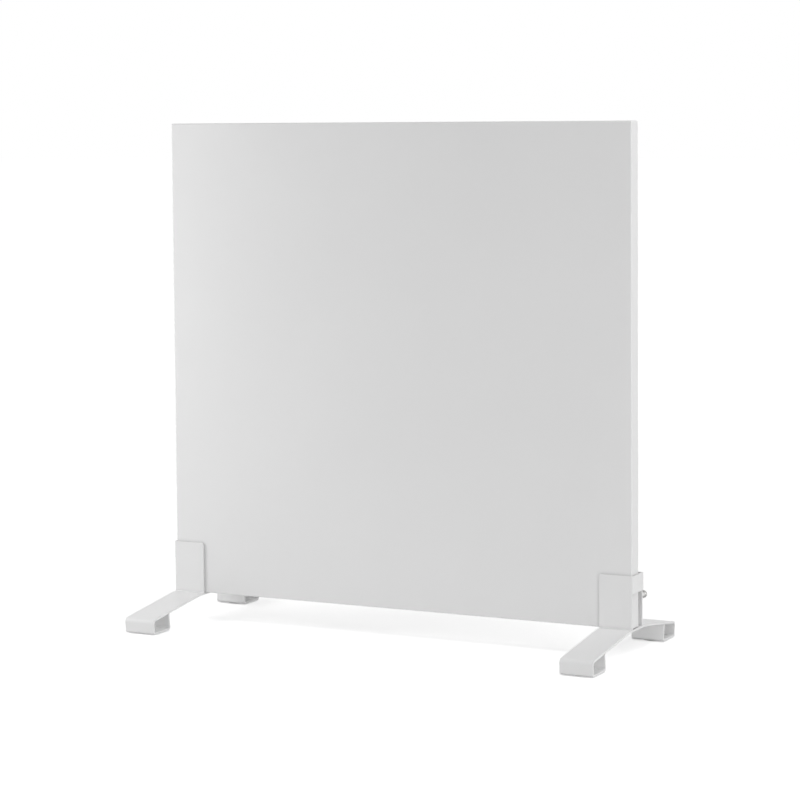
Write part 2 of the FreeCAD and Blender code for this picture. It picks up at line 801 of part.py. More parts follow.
def mounting_inserts():
    """Flanged threaded inserts set in the raised field."""
    master = new_body("mounting_insert")
    inner = S.insert_thread / 2
    barrel = S.insert_barrel / 2
    flange = S.insert_flange / 2
    start = FIELD_REAR - S.insert_length
    end = FIELD_REAR + S.insert_flange_height
    profile = [
        (inner, start),
        (barrel, start),
        (barrel, FIELD_REAR),
        (flange, FIELD_REAR),
        (flange, end),
        (inner, end),
    ]
    turn(master, "XY", 0.0, 0.0, profile)
    group("mounting_inserts", master, [(across, 0, height) for across, height in insert_spots()])


# Terminal box and wiring


def terminal_box():
    """Open box on the raised field, with screw posts in its corners and the gland's hole below."""
    body = new_body("terminal_box")
    side = S.box_width / 2
    shell = new_sketch(body, "XZ", FIELD_REAR)
    outline(shell, rectangle(-side, BOX_BOTTOM, side, BOX_TOP, S.box_corner))
    pad(body, shell, S.box_depth)
    inside = side - S.box_wall
    hollow = new_sketch(body, "XZ", BOX_FLOOR)
    outline(hollow, rectangle(-inside, BOX_BOTTOM + S.box_wall, inside, BOX_TOP - S.box_wall,
                              S.box_corner - S.box_wall))
    pocket(body, hollow, S.box_depth)
    posts = new_sketch(body, "XZ", FIELD_REAR)
    circles(posts, post_spots(), S.post_diameter)
    pad(body, posts, S.box_depth)
    bite = S.small_screw_length - S.lid_sheet
    drill(body, "XZ", BOX_REAR - bite, post_spots(), S.small_screw_shank + S.running_clearance * 2,
          bite + OVERCUT)
    through = S.box_wall + OVERCUT * 2
    start = FIELD_REAR - OVERCUT
    drill(body, "XZ", start, wire_spots(), S.grommet_barrel + S.fit_clearance * 2, through)
    drill(body, "XZ", start, [(as_size(0), WIRE_HEIGHT)], S.earth_shank + S.hole_clearance * 2, through)
    drill(body, "XZ", start, box_screw_spots(), S.small_screw_shank + S.running_clearance * 2, through)
    drill(body, "XY", BOX_BOTTOM - OVERCUT, [(as_size(0), GLAND_DEPTH)],
          S.gland_thread + S.fit_clearance * 2, through)
    keep(body, "terminal_box")


def box_screws():
    """Screws through the box's floor into the cover."""
    master = pan_screw("box_screw", S.small_screw_shank, S.box_screw_length, S.small_screw_head,
                       S.small_screw_head_height, BOX_FLOOR)
    group("box_screws", master, [(across, 0, height) for across, height in box_screw_spots()])


def terminal_lid():
    """Lid with a rounded rim and counterbored screw holes."""
    body = new_body("terminal_lid")
    side = S.box_width / 2
    plate = new_sketch(body, "XZ", BOX_REAR)
    outline(plate, rectangle(-side, BOX_BOTTOM, side, BOX_TOP, S.box_corner))
    pad(body, plate, S.lid_sheet)
    lid_rear = BOX_REAR + S.lid_sheet
    round_edges(body, S.lid_edge, lies_at(Y=lid_rear))
    drill(body, "XZ", BOX_REAR - OVERCUT, post_spots(), S.small_screw_shank + S.hole_clearance * 2,
          S.lid_sheet + OVERCUT * 2)
    drill(body, "XZ", lid_rear - S.small_screw_head_height, post_spots(),
          S.small_screw_head + S.hole_clearance * 2, S.small_screw_head_height + OVERCUT)
    keep(body, "terminal_lid")


def lid_screws():
    """Screws sunk in the lid's counterbores."""
    seat = BOX_REAR + S.lid_sheet - S.small_screw_head_height
    master = pan_screw("lid_screw", S.small_screw_shank, S.small_screw_length - S.lid_sheet,
                       S.small_screw_head, S.small_screw_head_height, seat)
    group("lid_screws", master, [(across, 0, height) for across, height in post_spots()])


def terminal_block():
    """Three-pole block: a wire tunnel through each pole, with a screw well near each end."""
    body = new_body("terminal_block")
    side = S.pole_pitch + S.pole_end
    half = S.block_height / 2
    poles = [-S.pole_pitch, as_size(0), S.pole_pitch]
    base = new_sketch(body, "XZ", BOX_FLOOR)
    outline(base, rectangle(-side, BLOCK_MIDDLE - half, side, BLOCK_MIDDLE + half))
    pad(body, base, S.block_depth)
    for groove in (-S.pole_pitch / 2, S.pole_pitch / 2):
        notch = new_sketch(body, "XZ", BOX_FLOOR + S.block_depth - S.pole_screw_length)
        outline(notch, rectangle(groove - S.pole_notch / 2, BLOCK_MIDDLE - half - OVERCUT,
                                 groove + S.pole_notch / 2, BLOCK_MIDDLE + half + OVERCUT))
        pocket(body, notch, S.pole_screw_length + OVERCUT)
    drill(body, "XY", BLOCK_MIDDLE - half - OVERCUT, [(pole, TUNNEL_DEPTH) for pole in poles],
          S.tunnel_diameter, S.block_height + OVERCUT * 2)
    drill(body, "XZ", TUNNEL_DEPTH, pole_screw_spots(), S.pole_screw + S.fit_clearance * 2,
          S.block_depth)
    keep(body, "terminal_block")


def pole_screw_spots():
    """Places of the terminal screws, two on each pole."""
    heights = (BLOCK_MIDDLE - S.pole_screw_offset, BLOCK_MIDDLE + S.pole_screw_offset)
    return [(pole, height) for pole in (-S.pole_pitch, as_size(0), S.pole_pitch) for height in heights]


def terminal_screws():
    """Slotted set screws down the wells, just clear of the wires."""
    master = new_body("terminal_screw")
    start = TUNNEL_DEPTH + S.lead_diameter / 2 + S.fit_clearance
    end = start + S.pole_screw_length
    turn(master, "XY", 0.0, 0.0, ring(as_size(0), S.pole_screw / 2, start, end))
    slot = new_sketch(master, "XZ", end - S.pole_slot_depth)
    half = S.pole_slot_width / 2
    outline(slot, rectangle(-S.pole_screw, -half, S.pole_screw, half))
    pocket(master, slot, S.pole_slot_depth + OVERCUT)
    group("terminal_screws", master, [(across, 0, height) for across, height in pole_screw_spots()])


def wire_grommets():
    """Grommets that line the two wire holes, with a flange on each side of box floor and cover."""
    master = new_body("wire_grommet")
    inner = S.lead_diameter / 2 + S.fit_clearance * 2
    barrel = S.grommet_barrel / 2
    flange = S.grommet_flange / 2
    profile = [
        (inner, FIELD_FRONT - S.grommet_flange_height),
        (flange, FIELD_FRONT - S.grommet_flange_height),
        (flange, FIELD_FRONT),
        (barrel, FIELD_FRONT),
        (barrel, BOX_FLOOR),
        (flange, BOX_FLOOR),
        (flange, BOX_FLOOR + S.grommet_flange_height),
        (inner, BOX_FLOOR + S.grommet_flange_height),
    ]
    turn(master, "XY", 0.0, 0.0, profile)
    group("wire_grommets", master, [(across, 0, height) for across, height in wire_spots()])


def earth_connection():
    """Ring lug under a screw through the box's floor and the cover, with its nut inside."""
    zero = as_size(0)
    screw = new_body("earth_screw")
    seat = BOX_FLOOR + S.lug_sheet
    tip = FIELD_FRONT - S.earth_nut_height
    profile = [
        (zero, tip),
        (S.earth_shank / 2, tip),
        (S.earth_shank / 2, seat),
        (S.earth_head / 2, seat),
        (S.earth_head / 2, seat + S.earth_head_height / 2),
        (S.earth_head / 2 - S.earth_head_height / 2, seat + S.earth_head_height),
        (zero, seat + S.earth_head_height),
    ]
    turn(screw, "XY", zero, WIRE_HEIGHT, profile)
    keep(screw, "earth_screw")
    nut = new_body("earth_nut")
    flats = new_sketch(nut, "XZ", tip, (0.0, WIRE_HEIGHT))
    outline(flats, hexagon(S.earth_nut_flats))
    circles(flats, [(zero, zero)], S.earth_shank + S.running_clearance * 2)
    pad(nut, flats, S.earth_nut_height)
    keep(nut, "earth_nut")
    lug = new_body("earth_lug")
    eye = new_sketch(lug, "XZ", BOX_FLOOR, (0.0, WIRE_HEIGHT))
    circles(eye, [(zero, zero)], S.lug_diameter)
    pad(lug, eye, S.lug_sheet)
    barrel = new_sketch(lug, "XY", WIRE_HEIGHT - S.lug_diameter / 2 - S.lug_barrel_length)
    circles(barrel, [(zero, BOX_FLOOR + S.lug_barrel / 2)], S.lug_barrel)
    pad(lug, barrel, S.lug_barrel_length + S.lug_sheet)
    drill(lug, "XZ", BOX_FLOOR - OVERCUT, [(zero, WIRE_HEIGHT)], S.earth_shank + S.hole_clearance * 2,
          S.lug_sheet + OVERCUT * 2)
    drill(lug, "XY", WIRE_HEIGHT - S.lug_diameter / 2 - S.lug_barrel_length - OVERCUT,
          [(zero, BOX_FLOOR + S.lug_barrel / 2)], S.lead_diameter + S.fit_clearance * 2,
          S.lug_barrel_length + OVERCUT)
    keep(lug, "earth_lug")


def lead(label, corners):
    """Wire swept along straight runs, with an arc at each corner between them."""
    doc.recompute()
    spots = [FreeCAD.Vector(*[as_size(value).number for value in corner]) for corner in corners]
    edges = []
    start = spots[0]
    for before, corner, after in zip(spots, spots[1:], spots[2:]):
        back = (before - corner).normalize()
        ahead = (after - corner).normalize()
        half = back.getAngle(ahead) / 2
        cut_back = S.lead_bend.number / math.tan(half)
        inward = (back + ahead).normalize()
        crown = corner + inward * (S.lead_bend.number / math.sin(half) - S.lead_bend.number)
        arrive, leave = corner + back * cut_back, corner + ahead * cut_back
        edges += [Part.LineSegment(start, arrive).toShape(), Part.Arc(arrive, crown, leave).toShape()]
        start = leave
    edges.append(Part.LineSegment(start, spots[-1]).toShape())
    path = Part.Wire(edges)
    round_end = Part.makeCircle(S.lead_diameter.number / 2, spots[0], spots[1] - spots[0])
    solid = path.makePipeShell([Part.Wire(round_end)], True, False)
    expected = math.pi * (S.lead_diameter.number / 2) ** 2 * path.Length
    if abs(solid.Volume - expected) > expected / 100:
        raise RuntimeError(f"{label}: swept volume is off")
    wire = doc.addObject("Part::Feature", label)
    wire.Shape = solid
    keep(wire, label)


def leads():
    """Internal wires: block to cut-out to left bus bar, block to right bus bar, block to earth."""
    grip = BLOCK_TOP - S.tunnel_grip
    pole = S.pole_pitch
    right_spade = -S.cutout_offset + S.spade_reach + S.fit_clearance
    left_spade = -S.cutout_offset - S.spade_reach - S.fit_clearance
    lead("live_lead", [
        (-pole, TUNNEL_DEPTH, grip),
        (-pole, TUNNEL_DEPTH, WIRE_HEIGHT),
        (-pole, WIRE_DEPTH, WIRE_HEIGHT),
        (right_spade, WIRE_DEPTH, WIRE_HEIGHT),
    ])
    lead("element_lead", [
        (left_spade, WIRE_DEPTH, WIRE_HEIGHT),
        (-BUS_BAR_SIDE, WIRE_DEPTH, WIRE_HEIGHT),
        (-BUS_BAR_SIDE, FILM_REAR, WIRE_HEIGHT),
    ])
    lead("neutral_lead", [
        (pole, TUNNEL_DEPTH, grip),
        (pole, TUNNEL_DEPTH, WIRE_HEIGHT),
        (pole, WIRE_DEPTH, WIRE_HEIGHT),
        (BUS_BAR_SIDE, WIRE_DEPTH, WIRE_HEIGHT),
        (BUS_BAR_SIDE, FILM_REAR, WIRE_HEIGHT),
    ])
    barrel_depth = BOX_FLOOR + S.lug_barrel / 2
    barrel_top = WIRE_HEIGHT - S.lug_diameter / 2
    lead("earth_lead", [
        (as_size(0), TUNNEL_DEPTH, grip),
        (as_size(0), TUNNEL_DEPTH, BLOCK_TOP),
        (as_size(0), barrel_depth, barrel_top - S.lug_barrel_length - S.lead_bend / 2),
        (as_size(0), barrel_depth, barrel_top - S.fit_clearance),
    ])


# Cable gland, on an upright axis under the terminal box


def hex_ring(name, flats, bore, start, height):
    """Hexagonal ring about the gland's axis."""
    body = new_body(name)
    sketch = new_sketch(body, "XY", start, (0.0, GLAND_DEPTH))
    outline(sketch, hexagon(flats))
    circles(sketch, [(as_size(0), as_size(0))], bore)
    pad(body, sketch, height)
    return body


def cable_gland():
    """Body with a hexagon, locknut inside the box, rubber seal and domed cap."""
    thread = S.gland_thread / 2
    bore = S.seal_diameter / 2 + S.fit_clearance
    flange_low = BOX_BOTTOM - S.gland_flange_height
    neck_low = flange_low - S.gland_neck
    nut_low = BOX_BOTTOM + S.box_wall
    stub_high = nut_low + S.locknut_height + S.gland_stub_spare
    body = hex_ring("gland_body", S.gland_flats, bore * 2, flange_low, S.gland_flange_height)
    turn(body, "XZ", 0.0, GLAND_DEPTH, ring(bore, thread, neck_low, stub_high))
    keep(body, "gland_body")
    keep(hex_ring("gland_locknut", S.gland_flats, (thread + S.running_clearance) * 2, nut_low,
                  S.locknut_height), "gland_locknut")
    seal = new_body("gland_seal")
    turn(seal, "XZ", 0.0, GLAND_DEPTH,
         ring(S.cable_diameter / 2, S.seal_diameter / 2, neck_low, neck_low + S.seal_length))
    keep(seal, "gland_seal")
    cap_high = flange_low - S.cap_gap
    skirt_low = cap_high - S.cap_skirt
    dome_low = skirt_low - S.cap_dome
    inner = thread + S.fit_clearance
    cap = hex_ring("gland_cap", S.gland_flats, inner * 2, skirt_low, S.cap_skirt)
    mouth = S.cable_diameter / 2 + S.cap_clearance
    turn(cap, "XZ", 0.0, GLAND_DEPTH, [
        (mouth, dome_low),
        (S.cap_nose / 2, dome_low),
        (S.gland_flats / 2, skirt_low, S.cap_dome),
        (S.gland_flats / 2, skirt_low + S.cap_gap),
        (inner, skirt_low + S.cap_gap),
        (mouth, neck_low),
    ])
    keep(cap, "gland_cap")


# Feet


def strip_path(sketch, sign, leg_start):
    """Middle line of half a foot: saddle, sloping leg, end wall, base and inner wall."""
    half = S.strip_sheet / 2
    saddle = SADDLE_TOP - half
    base = S.pad_sheet + half
    name = "front" if sign < 0 else "rear"
    run = place(name + "_leg_run", S.end_reach - leg_start)
    length = place(name + "_leg_length", root(run * run + S.leg_drop * S.leg_drop))
    sine = S.leg_drop / length
    cosine = run / length
    end_height = saddle - S.leg_drop
    toe = place(name + "_toe", S.end_reach - (end_height - base) * S.leg_drop / run)
    heel = place(name + "_heel", toe - S.base_length)
    below_leg = (saddle - base) * cosine - (heel - leg_start) * sine
    wall = place(name + "_inner_wall", below_leg - half - S.fold_gap)
    corners = [
        (as_size(0), saddle),
        (leg_start, saddle, S.leg_bend),
        (S.end_reach, end_height, S.end_bend),
        (toe, base, S.base_bend),
        (heel, base, S.heel_bend),
        (heel + wall * sine, base + wall * cosine),
    ]
    outline(sketch, [(c[0] * sign,) + c[1:] for c in corners], closed=False)
    return toe - S.base_length / 2


def foot_strips():
    """Strip bent in one run: a saddle under the clip, two legs, and an open box at each end."""
    body = new_body("foot_strip")
    starts = {-1: -FRONT_PLATE_FACE + S.leg_setback, 1: REAR_PLATE_BACK + S.leg_setback}
    middles = {}
    for sign, leg_start in starts.items():
        path = new_sketch(body, "YZ", STRIP_MIDDLE)
        middles[sign] = strip_path(path, sign, leg_start)
        section = new_sketch(body, "XZ")
        outline(section, rectangle(PLATE_INNER, SADDLE_TOP - S.strip_sheet, PLATE_OUTER, SADDLE_TOP))
        pipe = body.newObject("PartDesign::AdditivePipe", "bent_strip")
        pipe.Profile = section
        pipe.Spine = path
    both_sides(body, "foot_strip")
    for sign, label in ((-1, "front_floor_pad"), (1, "rear_floor_pad")):
        floor_pad = new_body(label)
        disc = new_sketch(floor_pad, "XY")
        circles(disc, [(STRIP_MIDDLE, middles[sign] * sign)], S.pad_diameter)
        pad(floor_pad, disc, S.pad_sheet)
        both_sides(floor_pad, label)


def weld(body, face, sign):
    """Hollow fillet of weld where a plate stands on the saddle."""
    sketch = new_sketch(body, "YZ", PLATE_INNER)
    foot = (face, SADDLE_TOP)
    out = (face + S.weld_leg * sign, SADDLE_TOP)
    up = (face, SADDLE_TOP + S.weld_leg)
    spots = [FreeCAD.Vector(y.number, z.number, 0) for y, z in (foot, out, up)]
    centre = spots[1] + spots[2] - spots[0]
    crown = centre + (spots[0] - centre).normalize() * S.weld_leg.number
    items = [
        sketch.addGeometry(Part.LineSegment(spots[2], spots[0]), False),
        sketch.addGeometry(Part.LineSegment(spots[0], spots[1]), False),
        sketch.addGeometry(Part.Arc(spots[1], crown, spots[2]), False),
    ]
    first = 1 if (sketch.getPoint(items[2], 1) - spots[1]).Length < SAME else 2
    sketch.addConstraint(Sketcher.Constraint("Coincident", items[0], 2, items[1], 1))
    sketch.addConstraint(Sketcher.Constraint("Coincident", items[1], 2, items[2], first))
    sketch.addConstraint(Sketcher.Constraint("Coincident", items[2], 3 - first, items[0], 1))
    row = sketch.addConstraint(Sketcher.Constraint("Radius", items[2], S.weld_leg.number))
    bind(sketch, f"Constraints[{row}]", S.weld_leg)
    fix_point(sketch, items[0], 2, foot)
    fix_point(sketch, items[1], 2, out)
    fix_point(sketch, items[0], 1, up)
    pad(body, sketch, S.strip_width)


def foot_clips():
    """Clip bent to a U round the panel's corner: two plates joined by a band near the top."""
    body = new_body("foot_clip")
    outer_bend = S.clip_bend + S.clip_sheet
    shape = new_sketch(body, "XY", SADDLE_TOP)
    outline(shape, [
        (PLATE_INNER, FRONT_PLATE_FACE),
        (BAND_OUTER, FRONT_PLATE_FACE, outer_bend),
        (BAND_OUTER, REAR_PLATE_BACK, outer_bend),
        (PLATE_INNER, REAR_PLATE_BACK),
        (PLATE_INNER, REAR_PLATE_FRONT),
        (BAND_INNER, REAR_PLATE_FRONT, S.clip_bend),
        (BAND_INNER, FRONT_PLATE_BACK, S.clip_bend),
        (PLATE_INNER, FRONT_PLATE_BACK),
    ])
    pad(body, shape, CLIP_TOP - SADDLE_TOP)
    round_edges(body, S.clip_corner, lies_at(X=PLATE_INNER, Z=CLIP_TOP))
    step = new_sketch(body, "XZ", FRONT_PLATE_FACE - OVERCUT)
    band_bottom = CLIP_TOP - S.band_height
    outline(step, [
        (PLATE_OUTER, SADDLE_TOP - OVERCUT),
        (BAND_OUTER + OVERCUT, SADDLE_TOP - OVERCUT),
        (BAND_OUTER + OVERCUT, band_bottom),
        (PLATE_OUTER, band_bottom, S.band_relief),
    ])
    pocket(body, step, REAR_PLATE_BACK - FRONT_PLATE_FACE + OVERCUT * 2)
    window = new_sketch(body, "XZ", FRONT_PLATE_BACK)
    outline(window, rectangle(BAND_INNER - S.clip_bend, SADDLE_TOP - OVERCUT, BAND_OUTER + OVERCUT,
                              band_bottom))
    pocket(body, window, REAR_PLATE_FRONT - FRONT_PLATE_BACK)
    drill(body, "XZ", REAR_PLATE_FRONT - OVERCUT, [(SCREW_SIDE, SCREW_HEIGHT)],
          S.screw_shank + S.hole_clearance * 2, S.clip_sheet + OVERCUT * 2)
    weld(body, FRONT_PLATE_FACE, -1)
    weld(body, REAR_PLATE_BACK, 1)
    both_sides(body, "foot_clip")


def clamp_nuts():
    """Weld nut on the back of each rear plate."""
    body = new_body("clamp_nut")
    sketch = new_sketch(body, "XZ", REAR_PLATE_BACK, (SCREW_SIDE, SCREW_HEIGHT))
    outline(sketch, hexagon(S.nut_flats))
    circles(sketch, [(as_size(0), as_size(0))], S.screw_shank + S.running_clearance * 2)
    pad(body, sketch, S.nut_height)
    both_sides(body, "clamp_nut")


def clamp_screws():
    """Domed clamp screw with a turned-down tip and a cross recess."""
    body = new_body("clamp_screw")
    zero = as_size(0)
    tip = SHANK_START - S.tip_length
    crown = SCREW_HEAD_FACE + S.screw_head_height
    profile = [
        (zero, tip),
        (S.tip_diameter / 2, tip),
        (S.tip_diameter / 2, SHANK_START),
        (S.screw_shank / 2, SHANK_START),
        (S.screw_shank / 2, SCREW_HEAD_FACE),
        (S.screw_head / 2, SCREW_HEAD_FACE),
        (S.screw_head / 2, crown, S.screw_head_height - S.screw_head_rim),
        (zero, crown),
    ]
    turn(body, "XY", SCREW_SIDE, SCREW_HEIGHT, profile)
    cross = new_sketch(body, "XZ", crown - S.recess_depth, (SCREW_SIDE, SCREW_HEIGHT))
    arm = S.recess_span / 2
    half = S.recess_width / 2
    outline(cross, [
        (half, -arm), (half, -half), (arm, -half), (arm, half), (half, half), (half, arm),
        (-half, arm), (-half, half), (-arm, half), (-arm, -half), (-half, -half), (-half, -arm),
    ])
    pocket(body, cross, S.recess_depth + OVERCUT)
    both_sides(body, "clamp_screw")


def clamp_pads():
    """Swivel pad on each screw's tip, against the back of the panel."""
    body = new_body("clamp_pad")
    zero = as_size(0)
    socket = S.tip_diameter / 2 + S.running_clearance
    socket_floor = SHANK_START - S.tip_length - S.fit_clearance
    outer = S.clamp_pad / 2
    profile = [
        (zero, CLAMP_PAD_FRONT),
        (outer, CLAMP_PAD_FRONT),
        (outer, CLAMP_PAD_BACK),
        (socket, CLAMP_PAD_BACK),
        (socket, socket_floor),
        (zero, socket_floor),
    ]
    turn(body, "XY", SCREW_SIDE, SCREW_HEIGHT, profile)
    both_sides(body, "clamp_pad")


def check_all():
    """Stop if any object failed or any piece is empty or broken."""
    doc.recompute()
    for item in doc.Objects:
        if any(state in item.State for state in ("Invalid", "Error")):
            raise RuntimeError(f"{item.Name} failed: {item.State}")
    for piece in pieces:
        shape = piece.Shape
        if shape.isNull() or not shape.isValid() or not shape.Solids:
            raise RuntimeError(f"{piece.Label} has no valid solid")


def write_all():
    """Write each piece to a file of its own name."""
    os.makedirs("parts", exist_ok=True)
    for piece in pieces:
        piece.Shape.exportStep(f"parts/{piece.Label}.step")
    print(len(pieces), "pieces written")


front_panel()
heating_element()
reflector_foil()
insulation_board()
thermal_cutout()
rear_cover()
cover_screws()
mounting_inserts()
terminal_box()
box_screws()
terminal_lid()
lid_screws()
terminal_block()
terminal_screws()
wire_grommets()
earth_connection()
leads()
cable_gland()
foot_strips()
foot_clips()
clamp_nuts()
clamp_screws()
clamp_pads()
check_all()
write_all()
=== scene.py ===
import json
import math

import bmesh
import bpy
from bpy.props import FloatProperty, FloatVectorProperty, IntProperty, PointerProperty
from mathutils import Matrix, Vector

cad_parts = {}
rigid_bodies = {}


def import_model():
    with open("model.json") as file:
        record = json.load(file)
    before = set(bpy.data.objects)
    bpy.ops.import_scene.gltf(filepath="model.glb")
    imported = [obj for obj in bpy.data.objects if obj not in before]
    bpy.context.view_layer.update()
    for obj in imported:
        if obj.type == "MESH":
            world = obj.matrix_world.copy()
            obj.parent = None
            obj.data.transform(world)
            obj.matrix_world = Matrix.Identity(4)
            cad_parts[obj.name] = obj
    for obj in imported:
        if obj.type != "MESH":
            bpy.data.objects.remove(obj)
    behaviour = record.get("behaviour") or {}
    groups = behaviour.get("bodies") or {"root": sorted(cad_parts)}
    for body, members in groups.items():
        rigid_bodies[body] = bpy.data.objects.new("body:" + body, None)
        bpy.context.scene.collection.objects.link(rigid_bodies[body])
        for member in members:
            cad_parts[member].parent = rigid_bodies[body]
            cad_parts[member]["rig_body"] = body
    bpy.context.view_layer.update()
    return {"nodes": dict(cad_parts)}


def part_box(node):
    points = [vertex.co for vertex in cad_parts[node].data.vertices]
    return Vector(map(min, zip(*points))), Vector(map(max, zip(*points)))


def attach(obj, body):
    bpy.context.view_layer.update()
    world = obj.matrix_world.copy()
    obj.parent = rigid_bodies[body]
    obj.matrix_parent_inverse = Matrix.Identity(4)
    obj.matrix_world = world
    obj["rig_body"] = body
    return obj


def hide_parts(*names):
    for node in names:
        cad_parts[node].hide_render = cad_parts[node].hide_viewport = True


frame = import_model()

bl_info = {
    "name": "Panel heater",
    "version": (1, 0, 0),
    "blender": (4, 5, 0),
    "location": "3D View > Sidebar > Heater",
    "description": "Finishes and stage of a free-standing panel heater on clamp-on feet",
    "category": "Object",
}

NODES = frame["nodes"]

# Points nearer than this are one, in metres on the part and in head diameters on a fastener
SAME_POINT = 1e-6
SAME_POINT_ON_FASTENER = 1e-5
# Faces that turn by less than this are one flat face, and edges that turn by more stay sharp
FLAT_TURN = math.radians(0.3)
SHARP_TURN = math.radians(42)
# Range in which nearly all of a noise lies
NOISE_RANGE = (0.3, 0.7)
WHITE = (1.0, 1.0, 1.0, 1.0)


def colour(label, text, default):
    """Colour setting of a finish."""
    return FloatVectorProperty(
        name=label, description=text, default=default, size=3, min=0.0, max=1.0, subtype="COLOR"
    )


def length(label, text, default):
    """Length setting in metres."""
    return FloatProperty(
        name=label, description=text, default=default, min=0.0, precision=5, unit="LENGTH"
    )


def share(label, text, default):
    """Setting between nothing and all."""
    return FloatProperty(
        name=label, description=text, default=default, min=0.0, max=1.0, subtype="FACTOR"
    )


def angle(label, text, degrees):
    """Angle setting."""
    return FloatProperty(
        name=label, description=text, default=math.radians(degrees), subtype="ANGLE"
    )


def power(label, text, default):
    """Power setting of a lamp in watts."""
    return FloatProperty(name=label, description=text, default=default, min=0.0, unit="POWER")


class HeaterFinish(bpy.types.PropertyGroup):
    """Colours and surface grain."""

    coat: colour("Coat", "White powder coat on panel and feet", (0.885, 0.885, 0.885))
    coat_roughness: share("Coat roughness", "Satin of the powder coat", 0.34)
    coat_grain: length("Coat grain", "Size of the powder coat's orange peel", 0.0016)
    coat_mottle: length("Coat mottle", "Size of the coat's faint cloudy patches", 0.16)
    # Painted shade: the coat's colour darkens by ambient occlusion along seams and inner corners, reaching
    # this far and this deep.
    painted_shade_reach: length("Crease reach", "How far the dull line along a seam reaches", 0.004)
    painted_shade_depth: share("Crease depth", "How much a seam dulls the coat beside it", 0.3)
    zinc: colour("Zinc", "Plating on screws and inserts", (0.78, 0.78, 0.77))
    zinc_roughness: share("Zinc roughness", "Sheen of the plating", 0.44)
    rubber: colour("Floor pad", "Grey rubber under the feet", (0.52, 0.52, 0.51))
    seal: colour("Seal", "Black rubber of seal and grommets", (0.03, 0.03, 0.03))
    plastic: colour("Plastic", "Black plastic of terminal box and gland", (0.035, 0.035, 0.037))
    plastic_grain: length("Plastic grain", "Size of the moulded texture", 0.0009)
    block: colour("Block", "Pale plastic of the terminal block", (0.72, 0.69, 0.6))
    copper: colour("Copper", "Bus bars", (0.72, 0.36, 0.22))
    brass: colour("Brass", "Terminal screws and earth lug", (0.72, 0.55, 0.24))
    brown: colour("Brown sleeve", "Sleeve of the live and element leads", (0.12, 0.05, 0.025))
    blue: colour("Blue sleeve", "Sleeve of the neutral lead", (0.02, 0.1, 0.42))
    green: colour("Green stripe", "Green of the earth lead's sleeve", (0.08, 0.34, 0.06))
    yellow: colour("Yellow stripe", "Yellow of the earth lead's sleeve", (0.75, 0.62, 0.04))
    film: colour("Film", "Bare film between the printed tracks", (0.012, 0.012, 0.014))
    track: colour("Track", "Printed tracks of the heating film", (0.05, 0.05, 0.055))
    mica_dark: colour("Dark mica", "Tan flakes of the mica paper", (0.34, 0.28, 0.18))
    mica_pale: colour("Pale mica", "Silver flakes of the mica paper", (0.66, 0.6, 0.47))
    # Painted shade: the foil's hollows take this darker colour, following the same noise as its bump.
    foil_painted_shade: colour("Dark foil", "Hollows of the crinkled foil", (0.72, 0.72, 0.73))
    foil_pale: colour("Pale foil", "Crests of the crinkled foil", (0.9, 0.9, 0.91))
    # Painted shade: the gaps between the fibres take this darker colour, following the same noise as the
    # bump.
    wool_painted_shade: colour("Dark wool", "Gaps between the board's fibres", (0.42, 0.36, 0.22))
    wool_pale: colour("Pale wool", "Fibres of the board", (0.74, 0.68, 0.5))


class HeaterSizes(bpy.types.PropertyGroup):
    """Sizes of what the scene makes itself."""

    strip_sheet: length("Strip thickness", "Sheet of the feet's bent strip", 0.0025)
    strip_edge: length("Strip edge", "Rounding of the strip's coated edges", 0.0004)
    strip_steps: IntProperty(
        name="Bend steps", description="Steps around each bend of the strip", default=10, min=2
    )
    leg_front: length("Front leg start", "Middle of the foot to the front leg's bend", 0.01865)
    leg_rear: length("Rear leg start", "Middle of the foot to the rear leg's bend", 0.03)
    leg_drop: length("Leg drop", "Fall of a leg from saddle to end", 0.0134)
    leg_bend: length("Leg bend", "Radius where a leg leaves the saddle", 0.1)
    end_reach: length("End reach", "Middle of the foot to the end's corner", 0.1253)
    end_bend: length("End bend", "Radius of the end's upper corner", 0.004)
    base_bend: length("Base bend", "Radius of the end's lower corner", 0.0018)
    base_length: length("Base length", "Length of the flat that rests on the floor pad", 0.03475)
    heel_bend: length("Heel bend", "Radius of the inner lower corner", 0.003)
    fold_gap: length("Fold gap", "Gap between the strip's end and the leg above it", 0.0003)
    sheet_edge: length("Sheet edge", "Rounding of the clips' and panel's coated edges", 0.0003)
    moulded_edge: length("Moulded edge", "Rounding of plastic edges", 0.0004)
    cover_head: length("Cover screw head", "Head diameter of the cover's screws", 0.0065)
    cover_head_height: length("Cover head height", "Head height of the cover's screws", 0.002)
    lid_head: length("Lid screw head", "Head diameter of the lid's screws", 0.005)
    lid_head_height: length("Lid head height", "Head height of the lid's screws", 0.0014)
    insert_flange: length("Insert flange", "Flange diameter of the threaded inserts", 0.012)
    insert_flange_height: length("Flange height", "Flange height of the inserts", 0.0008)
    screw_seed: IntProperty(name="Screw seed", description="Seed of the screws' turns", default=7)


